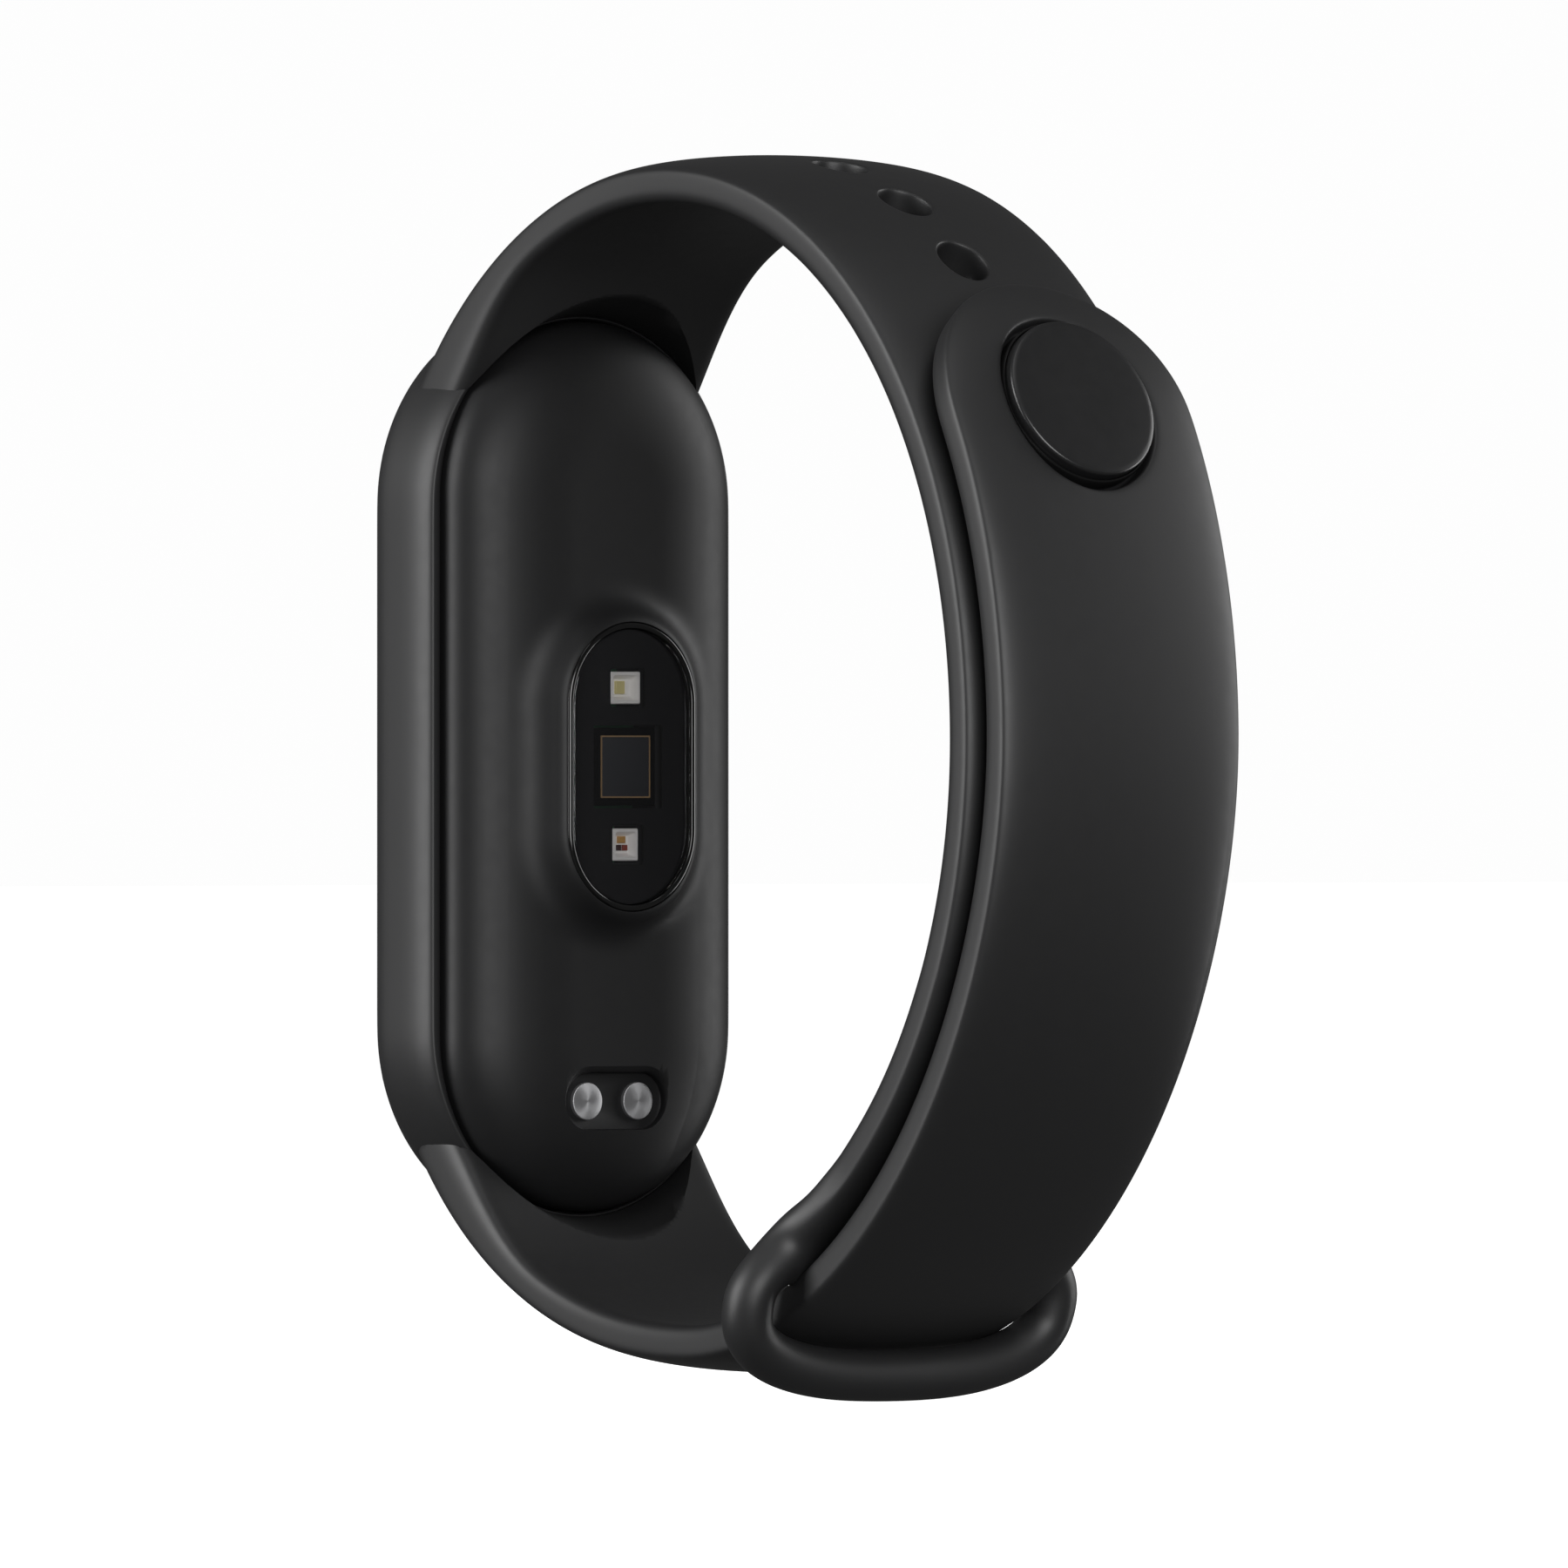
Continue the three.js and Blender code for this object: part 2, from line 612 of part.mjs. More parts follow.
// ---- Assembly ----
const pieces = [
  ["capsule_holder", capsuleHolder(), tpu],
  ["strap_holed", strapHoled(), tpu],
  ["keeper_loop", keeperTube(KEEPER.tube), tpu],
  ["strap_plain", strapPlain(), tpu],
  ["strap_tail", strapTail(), tpu],
  ["stud_cap", studCap(), satinCap],
  ["stud_post", studPost(), steel],
  ["stud_ring", studRing(), glossPlastic],
  ["rear_cover", rearCover(), shellPlastic],
  ["front_glass", frontGlass(), coverGlass],
  ["glass_adhesive", glassAdhesive(), blackPlastic],
  ["display_panel", displayPanel(), displayFilm],
  ["display_flex", displayFlex(), polyimide],
  ["inner_tray", innerTray(), blackPlastic],
  ["main_board", mainBoard(), boardGreen],
  ["processor_chip", onBoard([-2.2, 2.2], [-7, -2.6], 0.8), chipBlack],
  ["memory_chip", onBoard([-6, -3.2], [-5.4, -2.6], 0.7), chipBlack],
  ["motion_sensor_chip", onBoard([3.4, 5.6], [-4.8, -2.6], 0.7), chipBlack],
  ["antenna_strip", slab([-7.2, -6.6], [-19.3, -16.2], [2, 12]), brass],
  ["battery", battery(), foil],
  ["battery_tab", onBoard([-2.4, 2.4], [-1.6, 0.4], 1.2), polyimide],
  ["battery_pad", slab([-5, 5], [-19.5, -19.3], [3, 17]), foam],
  ["motor_case", motorCase(), steel],
  ["motor_cover", motorCover(), steel],
  ["motor_shaft", motorShaft(), steel],
  ["motor_rotor", motorRotor(), brass],
  ["sensor_board", sensorBoard(), boardGreen],
  ["sensor_flex", slab([-1.5, 1.5], [-15.2, -14.9], [-7, 7]), polyimide],
  ["light_barrier", lightBarrier(), blackPlastic],
  ["led_green", slab([-1.0, 1.0], [-14.0, -12.5], [3.3, 5.0]), ceramic],
  ["photodiode", slab([-2.1, 2.1], [-14.0, -12.6], [-2.05, 2.05]), silicon],
  ["led_red", slab([-0.85, 0.85], [-14.0, -12.5], [-4.9, -3.3]), ceramic],
  ["sensor_window", sensorWindow(), coverGlass],
  ["sensor_bezel", sensorBezel(), glossPlastic],
  ["charge_contact_left", chargeContact(1), steel],
  ["charge_contact_right", chargeContact(-1), steel],
  ["contact_seal_left", contactSeal(1), foam],
  ["contact_seal_right", contactSeal(-1), foam],
  ["charge_magnet_left", chargeMagnet(1), steel],
  ["charge_magnet_right", chargeMagnet(-1), steel],
];

const tracker = new THREE.Group();
for (const [name, geometry, material] of pieces) {
  const mesh = new THREE.Mesh(geometry, material);
  mesh.name = name;
  tracker.add(mesh);
}

export default tracker;
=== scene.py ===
# The looks of the fitness tracker band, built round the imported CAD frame.
# Lengths in the shape code are millimetres and become metres when a mesh is made.
# +X runs across the wrist, -Y out of the screen, +Y towards the stud, +Z up along the tracker.
import json
import math

import bmesh
import bpy
import numpy as np
from mathutils import Matrix, Vector


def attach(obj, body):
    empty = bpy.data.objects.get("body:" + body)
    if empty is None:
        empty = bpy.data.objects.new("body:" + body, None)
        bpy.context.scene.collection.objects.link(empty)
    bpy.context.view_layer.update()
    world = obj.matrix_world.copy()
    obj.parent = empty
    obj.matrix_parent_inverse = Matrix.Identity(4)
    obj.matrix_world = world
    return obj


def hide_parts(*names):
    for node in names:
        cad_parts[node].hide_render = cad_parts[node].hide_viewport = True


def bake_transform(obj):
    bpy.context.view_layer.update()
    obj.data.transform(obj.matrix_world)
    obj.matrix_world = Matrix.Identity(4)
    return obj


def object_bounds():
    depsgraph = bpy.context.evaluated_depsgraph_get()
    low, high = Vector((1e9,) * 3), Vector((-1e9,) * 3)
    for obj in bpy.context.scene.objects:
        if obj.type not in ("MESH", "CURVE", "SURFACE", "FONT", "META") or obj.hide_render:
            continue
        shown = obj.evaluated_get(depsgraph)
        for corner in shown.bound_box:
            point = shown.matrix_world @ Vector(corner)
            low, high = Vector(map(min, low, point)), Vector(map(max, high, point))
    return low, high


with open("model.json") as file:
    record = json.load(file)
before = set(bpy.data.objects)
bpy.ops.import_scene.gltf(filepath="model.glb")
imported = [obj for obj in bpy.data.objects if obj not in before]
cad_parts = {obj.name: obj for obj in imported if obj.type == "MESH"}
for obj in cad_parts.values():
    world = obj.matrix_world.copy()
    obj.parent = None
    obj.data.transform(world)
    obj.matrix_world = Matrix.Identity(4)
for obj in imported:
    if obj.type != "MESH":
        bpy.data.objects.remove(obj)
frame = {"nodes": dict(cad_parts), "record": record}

MM = 0.001
scene = bpy.context.scene
cad_low, cad_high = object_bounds()

# ---- Driving dimensions in mm, as in the CAD but for slimmer holes and a wider cap ----
STRAP_HALF, STRAP_THICK = 7.95, 2.6
LAYER_GAP, ROOT_EXTRA = 0.4, 0.4  # between the strap's two layers, and how much wider it is at its root
EDGE_FLAT = 0.92  # share of the half width over which the inner face is flat
EDGE_LOW, EDGE_SIDE = 0.5, 1.6  # where the strap's upright edge starts and ends, from the inner face
ROOT_THICKER = 1.2  # how much thicker the strap's inner side grows at its root
OUTER_LAYER = STRAP_THICK + LAYER_GAP
HOLED_QUARTERS = [  # from this angle up: centre (y, z), semi-axes and power of the superellipse
    (90, (0.8, 0.0), (23.4, 29.4), 2.07),
    (0, (0.8, 1.3), (23.6, 28.1), 2.04),
    (-90, (0.8, 1.3), (23.6, 27.2), 2.0),
]
STUD_QUARTERS = [
    (-90, (3.0, 1.3), (21.4 + OUTER_LAYER, 30.4), 1.85),
    (-180, (3.0, 0.0), (25.6, 29.1), 2.28),
]
ROOT_ANGLE, HOLED_END, STUD_ANGLE = 143, -63.5, 32  # degrees round the wrist
KEEPER_TUBE, KEEPER_HALF, KEEPER_POWER = 1.35, 10.2, 2.5
KEEPER_BOTTOM = (10.1, -31.7)  # (y, z) of the middle of the lower bar
HOLE_RADIUS, HOLE_PITCH, HOLES_ABOVE, HOLES_BELOW = 1.4, 5.1, 4, 5
CAP_RADIUS, RECESS_RADIUS, RECESS_DEPTH, BORE_RADIUS = 4.48, 4.7, 1.15, 1.3
TIP_SHIFT = -0.5  # the round tip's centre, past the stud
PAST_STUD = 24  # degrees of path past the stud, enough for the tip
BODY_HALF, BODY_LONG, BODY_FRONT, BODY_RIM, BODY_BACK = 9.25, 23.45, -20.9, -15.5, -12.4
GLASS_FRONT = -23.4
WINDOW_HALF, WINDOW_LONG, WINDOW_TOP = 4.1, 7.45, -11.2
HOLDER_WALL, HOLDER_END_WALL, HOLDER_FRONT, HOLDER_CLEAR = 1.0, 0.55, -20.3, 0.12
CONTACT_SPACING, CONTACT_Z, CONTACT_FLOOR, CONTACT_TOP = 3.4, -17.6, -13.05, -12.85


# ---- Mesh helpers ----
class Shape:
    """Vertices in mm and faces, gathered row by row and turned into one object."""

    def __init__(self):
        self.points = []
        self.faces = []

    def row(self, points):
        start = len(self.points)
        self.points.extend(tuple(map(float, p)) for p in points)
        return list(range(start, len(self.points)))

    def bridge(self, a, b, closed=False, skip=()):
        count = len(a)
        for i in range(count if closed else count - 1):
            if i not in skip:
                j = (i + 1) % count
                self.faces.append((a[i], a[j], b[j], b[i]))

    def rings(self, rows, closed=True, around=False):
        for a, b in zip(rows, rows[1:]):
            self.bridge(a, b, closed)
        if around:
            self.bridge(rows[-1], rows[0], closed)

    def cap(self, ring):
        self.faces.append(tuple(ring))

    def build(self, name, levels=0, merge=0.0005, sharp=None):
        mesh = bpy.data.meshes.new(name)
        mesh.from_pydata([(x * MM, y * MM, z * MM) for x, y, z in self.points], [], self.faces)
        bm = bmesh.new()
        bm.from_mesh(mesh)
        bmesh.ops.remove_doubles(bm, verts=bm.verts, dist=merge * MM)
        loose = [v for v in bm.verts if not v.link_faces]
        bmesh.ops.delete(bm, geom=loose, context="VERTS")
        bmesh.ops.recalc_face_normals(bm, faces=bm.faces)
        bm.to_mesh(mesh)
        bm.free()
        obj = bpy.data.objects.new(name, mesh)
        scene.collection.objects.link(obj)
        if levels:
            modifier = obj.modifiers.new("subdivision", "SUBSURF")
            modifier.levels = modifier.render_levels = levels
            apply_modifiers(obj)
        smooth(obj, sharp)
        return obj


def apply_modifiers(obj):
    depsgraph = bpy.context.evaluated_depsgraph_get()
    depsgraph.update()
    mesh = bpy.data.meshes.new_from_object(obj.evaluated_get(depsgraph))
    obj.modifiers.clear()
    old = obj.data
    obj.data = mesh
    bpy.data.meshes.remove(old)


def smooth(obj, sharp=None):
    mesh = obj.data
    mesh.polygons.foreach_set("use_smooth", [True] * len(mesh.polygons))
    if sharp is not None:
        mesh.set_sharp_from_angle(angle=math.radians(sharp))


def soften(obj, centre, reach, rounds=120):
    """Relaxes the mesh near a point, most at the point itself."""
    group = obj.vertex_groups.new(name="soft")
    for vertex in obj.data.vertices:
        distance = np.linalg.norm(np.array(vertex.co) / MM - centre)
        if distance < reach:
            group.add([vertex.index], float(smoothstep(-distance, -reach, -0.3 * reach)), "REPLACE")
    modifier = obj.modifiers.new("soften", "SMOOTH")
    modifier.factor, modifier.iterations, modifier.vertex_group = 0.5, rounds, "soft"
    apply_modifiers(obj)
    obj.vertex_groups.clear()
    smooth(obj)


def cut(obj, tool, sharp=30):
    """Takes tool's shape out of obj and deletes tool."""
    modifier = obj.modifiers.new("cut", "BOOLEAN")
    modifier.operation = "DIFFERENCE"
    modifier.solver = "EXACT"
    modifier.object = tool
    apply_modifiers(obj)
    bpy.data.objects.remove(tool)
    smooth(obj, sharp)


def signed_power(value, power):
    return math.copysign(abs(value) ** power, value)


def smoothstep(x, low=0.0, high=1.0):
    t = np.clip((x - low) / (high - low), 0.0, 1.0)
    return t * t * (3 - 2 * t)


# ---- Paths of the straps ----
def on_quarters(quarters, degrees):
    _, centre, semi, power = next(q for q in quarters if degrees >= q[0])
    c, s = math.cos(math.radians(degrees)), math.sin(math.radians(degrees))
    swell = [signed_power(v, 2 / power) for v in (c, s)]
    lean = [signed_power(v, 2 - 2 / power) / semi[i] for i, v in enumerate((c, s))]
    point = np.array([centre[i] + semi[i] * swell[i] for i in (0, 1)])
    return point, np.array(lean) / np.hypot(*lean)


def on_stud_strap(degrees):
    if degrees < 0:
        return on_quarters(STUD_QUARTERS, degrees)[0]
    point, normal = on_quarters(HOLED_QUARTERS, degrees)
    return point + OUTER_LAYER * normal


class Path:
    """A curve in the YZ plane, walked by distance, with its outward normal."""

    STEP = 0.25
    SOFTEN = 1.2  # mm, how far the joins between the quarter curves are eased

    def __init__(self, curve, start, end):
        self.degrees = np.linspace(start, end, 1600)
        rough = np.array([curve(d) for d in self.degrees])
        self.gone = np.concatenate([[0], np.cumsum(np.hypot(*np.diff(rough, axis=0).T))])
        self.length = self.gone[-1]
        pad = 4 * self.SOFTEN
        s = np.arange(-pad, self.length + pad, self.STEP)
        even = np.stack([np.interp(s, self.gone, rough[:, i]) for i in (0, 1)], axis=1)
        first = (rough[8] - rough[0]) / self.gone[8]
        last = (rough[-1] - rough[-9]) / (self.length - self.gone[-9])
        even += np.outer(np.minimum(s, 0), first) + np.outer(np.maximum(s - self.length, 0), last)
        reach = int(pad / self.STEP)
        kernel = np.exp(-0.5 * (np.arange(-reach, reach + 1) * self.STEP / self.SOFTEN) ** 2)
        kernel /= kernel.sum()
        self.s = s[reach:-reach]
        self.p = np.stack([np.convolve(even[:, i], kernel, "valid") for i in (0, 1)], axis=1)
        along = np.gradient(self.p, self.STEP, axis=0)
        along /= np.hypot(*along.T)[:, None]
        sign = 1 if start > end else -1  # outward is to the left of a path that runs clockwise
        self.n = sign * np.stack([-along[:, 1], along[:, 0]], axis=1)
        self.t = along

    def pick(self, table, s):
        return np.array([np.interp(s, self.s, table[:, i]) for i in (0, 1)])

    def at(self, s):
        over = s - min(max(s, self.s[0]), self.s[-1])
        return self.pick(self.p, s) + over * self.pick(self.t, s), self.pick(self.n, s)

    def put(self, x, s, height):
        p, n = self.at(s)
        return (x, p[0] + n[0] * height, p[1] + n[1] * height)

    def distance_of(self, degrees):
        order = np.argsort(self.degrees)
        return float(np.interp(degrees, self.degrees[order], self.gone[order]))


holed_path = Path(lambda d: on_quarters(HOLED_QUARTERS, d)[0], ROOT_ANGLE, HOLED_END)
stud_path = Path(on_stud_strap, -ROOT_ANGLE, STUD_ANGLE + PAST_STUD)
STUD_ON_HOLED = holed_path.distance_of(STUD_ANGLE)
STUD_ON_STUD = stud_path.distance_of(STUD_ANGLE)


# ---- The strap's section ----
HOLE_BLOCK, HOLE_CELLS = 2.4, 3  # half size of the square of mesh round a hole, and the cells across that
SIDE_CELLS = 7  # columns of cells from that square out to the strap's side
TUBE_SPARE = 1.02  # subdivision draws the tube in by about this much
SHOULDER_START = -30  # degrees round the loop at which its tube leaves the strap
CORNER_FILL = 2.8  # how far the corners between the upper bar and the legs are filled
SOFT_REACH = 4.4  # how far from each shoulder the mesh is relaxed
SHOULDER_HALF = 7.75  # the loop's half width where it leaves the strap
FLARE_LENGTH = 5.5  # over which the strap becomes the loop's upper bar
ROOT_LENGTH, ROOT_RISE = 22.0, 12.0  # over which the strap widens and thickens towards its root


def dome(inset, half=STRAP_HALF):
    """Height of the strap's outer face at a distance in from its outline."""
    across = np.clip(1 - inset / half, 0, 1)
    return EDGE_SIDE + (STRAP_THICK - EDGE_SIDE) * math.sqrt(1 - across**2)


def top_columns(half):
    start = math.asin(HOLE_BLOCK / half)
    turn = [start + (math.pi / 2 - start) * k / SIDE_CELLS for k in range(1, SIDE_CELLS + 1)]
    return [HOLE_BLOCK * k / HOLE_CELLS for k in range(HOLE_CELLS + 1)] + [half * math.sin(t) for t in turn]


def bottom_columns(half):
    block = [HOLE_BLOCK * k / HOLE_CELLS for k in range(HOLE_CELLS + 1)]
    rest = [HOLE_BLOCK + (EDGE_FLAT * half - HOLE_BLOCK) * k / SIDE_CELLS for k in range(1, SIDE_CELLS + 1)]
    return block + rest


SIDE_RINGS = [(0.0, (EDGE_SIDE + EDGE_LOW) / 2), (0.0, EDGE_LOW), (0.2, 0.13)]  # (inset, height)


def half_section(half):
    top = [(x, dome(half - x, half)) for x in top_columns(half)]
    side = [(half - inset, height) for inset, height in SIDE_RINGS]
    bottom = [(x, 0.0) for x in reversed(bottom_columns(half))]
    return top + side + bottom


def keeper_half_section():
    """The same points as half_section where the strap has become the keeper loop's upper bar."""
    middle = STRAP_THICK / 2
    flat = [0, 0.8, 1.6, 2.4, 4.2, 5.6, 6.7, 7.4]
    round_end = [math.radians(90 - 22.5 * k) for k in range(9)]
    end = [(SHOULDER_HALF + KEEPER_TUBE * math.cos(a), middle + KEEPER_TUBE * math.sin(a)) for a in round_end]
    top = [(x, middle + KEEPER_TUBE) for x in flat]
    bottom = [(x, middle - KEEPER_TUBE) for x in reversed(flat)]
    return top + end + bottom


def full_ring(half_points):
    """A closed loop: the top from left to right, the right side, the bottom and the left side."""
    tops = len(top_columns(STRAP_HALF))
    top, rest = half_points[:tops], half_points[tops:]
    side, bottom = rest[: len(SIDE_RINGS)], rest[len(SIDE_RINGS) :]
    mirrored = [(-x, h) for x, h in reversed(top[1:])]
    left_bottom = [(-x, h) for x, h in reversed(bottom[:-1])]
    left_side = [(-x, h) for x, h in reversed(side)]
    return mirrored + top + side + bottom + left_bottom + left_side


def thicker(s, height):
    """How far a point of the section moves in towards the wrist near the strap's root."""
    share = float(smoothstep(-s, -ROOT_RISE, -2.0)) * max(0.0, 1 - height / EDGE_SIDE)
    return ROOT_THICKER * share


# ---- The holed strap with the keeper loop ----
def holed_strap():
    shape = Shape()
    path = holed_path
    tops = 2 * len(top_columns(STRAP_HALF)) - 1
    sides = len(SIDE_RINGS)
    centre = tops // 2
    plain_ring = full_ring(half_section(STRAP_HALF))
    keeper_ring = full_ring(keeper_half_section())
    root_ring = full_ring(half_section(STRAP_HALF + ROOT_EXTRA))

    holes = [STUD_ON_HOLED + n * HOLE_PITCH for n in range(-HOLES_ABOVE, HOLES_BELOW + 1)]
    length = path.length
    stations = list(np.linspace(0, holes[0] - HOLE_BLOCK, 26))
    patch_starts = []
    for i, hole in enumerate(holes):
        patch_starts.append(len(stations) - 1)
        stations += [hole - HOLE_BLOCK + HOLE_BLOCK * k / HOLE_CELLS for k in range(1, 2 * HOLE_CELLS + 1)]
        if i + 1 < len(holes):
            stations.append(holes[i + 1] - HOLE_BLOCK)
    stations += list(np.linspace(stations[-1], length - FLARE_LENGTH, 6))[1:]
    stations += list(np.linspace(length - FLARE_LENGTH, length, 11))[1:]

    rows = []
    for s in stations:
        flare = max(0.0, 1 - (length - s) / FLARE_LENGTH) ** 2
        root = float(smoothstep(-s, -ROOT_LENGTH, 0))
        ring = []
        for (x0, h0), (x1, h1), (x2, h2) in zip(plain_ring, keeper_ring, root_ring):
            x = x0 + (x1 - x0) * flare + (x2 - x0) * root
            h = h0 + (h1 - h0) * flare + (h2 - h0) * root - thicker(s, h0)
            ring.append(path.put(x, s, h))
        rows.append(shape.row(ring))

    top_block = set(range(centre - HOLE_CELLS, centre + HOLE_CELLS))
    bottom_centre = tops + sides + tops // 2
    bottom_block = set(range(bottom_centre - HOLE_CELLS, bottom_centre + HOLE_CELLS))
    holed_rows = {start + k for start in patch_starts for k in range(2 * HOLE_CELLS)}
    for j in range(len(rows) - 1):
        skip = top_block | bottom_block if j in holed_rows else ()
        shape.bridge(rows[j], rows[j + 1], closed=True, skip=skip)
    shape.cap(rows[0])

    for start, hole in zip(patch_starts, holes):
        add_hole(shape, path, rows, start, hole, centre, bottom_centre)
    add_keeper(shape, path, rows[-1], tops, sides)
    obj = shape.build("band_strap_with_holes_and_keeper", levels=2)
    top = keeper_frame(path)[0]
    for side in (-1, 1):
        soften(obj, top + np.array([side * (SHOULDER_HALF + KEEPER_TUBE), 0, 0]), SOFT_REACH)
    return obj


def square_loop(rows, start, columns):
    """The vertices round a square block of the grid, anticlockwise seen with s upwards and x to the right."""
    cells = 2 * HOLE_CELLS
    first = [rows[start][c] for c in columns[:-1]]
    right = [rows[start + k][columns[-1]] for k in range(cells)]
    last = [rows[start + cells][c] for c in columns[:0:-1]]
    left = [rows[start + k][columns[0]] for k in range(cells, 0, -1)]
    return first + right + last + left


def add_hole(shape, path, rows, start, hole, centre, bottom_centre):
    span = range(-HOLE_CELLS, HOLE_CELLS + 1)
    top_loop = square_loop(rows, start, [centre + k for k in span])
    bottom_loop = square_loop(rows, start, [bottom_centre - k for k in span])
    count = len(top_loop)
    angles = [math.radians(-135 + 360 * k / count) for k in range(count)]

    def circle(radius, height):
        return [
            path.put(radius * math.cos(a), hole + radius * math.sin(a), height(radius * math.cos(a)))
            for a in angles
        ]

    def between(loop, ring, share):
        corner = np.array([shape.points[i] for i in loop])
        return corner + (np.array(ring) - corner) * share

    outer = lambda drop: lambda x: dome(STRAP_HALF - abs(x)) - drop
    level = lambda height: lambda x: height
    rim = HOLE_RADIUS + 0.16
    rings = [
        between(top_loop, circle(rim, outer(0)), 0.5),
        circle(rim, outer(0.0)),
        circle(HOLE_RADIUS + 0.05, outer(0.05)),
        circle(HOLE_RADIUS, outer(0.2)),
        circle(HOLE_RADIUS, level(STRAP_THICK / 2)),
        circle(HOLE_RADIUS, level(0.22)),
        circle(HOLE_RADIUS + 0.08, level(0.05)),
        circle(rim, level(0.0)),
        between(bottom_loop, circle(rim, level(0.0)), 0.5),
    ]
    shape.rings([top_loop] + [shape.row(r) for r in rings] + [bottom_loop])


def keeper_frame(path):
    """Where the loop hangs: its top centre, the way down to its lower bar, that length and its normal."""
    p, n = path.at(path.length)
    top = np.array([0, *(p + n * STRAP_THICK / 2)])
    bottom = np.array([0, *KEEPER_BOTTOM])
    down = bottom - top
    length = np.linalg.norm(down)
    down /= length
    face = np.cross([1, 0, 0], down)
    if face[1:] @ n < 0:
        face = -face
    return top, down, length, face


def add_keeper(shape, path, end, tops, sides):
    top, down, length, face = keeper_frame(path)
    x_axis = np.array([1.0, 0, 0])
    leg_columns = 4  # columns of the strap that become each leg
    last_top = tops - 1
    right = list(range(last_top - leg_columns, last_top + sides + 1 + leg_columns + 1))
    bottom_right = tops + sides
    bottom_left = bottom_right + tops - 1
    ring_size = 2 * (tops + sides)
    left = list(range(leg_columns, -1, -1)) + list(range(ring_size - 1, bottom_left, -1))
    left += list(range(bottom_left, bottom_left - leg_columns - 1, -1))

    # The underside of the upper bar: three rows between the strap's two faces.
    _, normal = path.at(path.length)
    normal = np.array([0, *normal])
    middle_top = list(range(leg_columns, tops - leg_columns))
    middle_bottom = [bottom_right + tops - 1 - i for i in middle_top]
    under = []
    for angle in (-45, 0, 45):
        a = math.radians(angle)
        row = []
        for k, i in enumerate(middle_top):
            x = shape.points[end[i]][0]
            near_leg = (abs(x) / SHOULDER_HALF) ** 4
            drop = KEEPER_TUBE * math.cos(a) + CORNER_FILL * near_leg
            rise = KEEPER_TUBE * math.sin(a) * (1 - 0.3 * near_leg)
            row.append(top + x_axis * x + down * drop + normal * rise)
        under.append(shape.row(row))
    strip = [[end[i] for i in middle_bottom]] + under + [[end[i] for i in middle_top]]
    shape.rings(strip, closed=False)

    right_loop = [end[i] for i in right] + [row[-1] for row in under]
    left_loop = [end[i] for i in left] + [row[0] for row in under]

    # The tube: down one leg, along the lower bar and up the other leg.
    radius = KEEPER_TUBE * TUBE_SPARE
    turns = 26
    full = []  # (x, distance down the loop, angle of the outward direction from +X), shoulder to shoulder
    for k in range(turns + 1):
        a = math.radians(SHOULDER_START + (180 - 2 * SHOULDER_START) * k / turns)
        x = KEEPER_HALF * signed_power(math.cos(a), 2 / KEEPER_POWER)
        d = signed_power(math.sin(a), 2 / KEEPER_POWER)
        lean = signed_power(math.cos(a), 2 - 2 / KEEPER_POWER) / KEEPER_HALF
        lean_down = signed_power(math.sin(a), 2 - 2 / KEEPER_POWER) / (length / 2)
        full.append((x, length / 2 * (1 + d), math.atan2(lean_down, lean)))
    count = len(right_loop)
    rows = [right_loop]
    for x, d, a in full:
        outward = x_axis * math.cos(a) + down * math.sin(a)
        centre = top + x_axis * x + down * d
        ring = []
        for k in range(count):
            turn = math.radians(135 - 360 * k / count)
            ring.append(centre + radius * (outward * math.cos(turn) + face * math.sin(turn)))
        rows.append(shape.row(ring))
    rows.append(left_loop)
    shape.rings(rows)


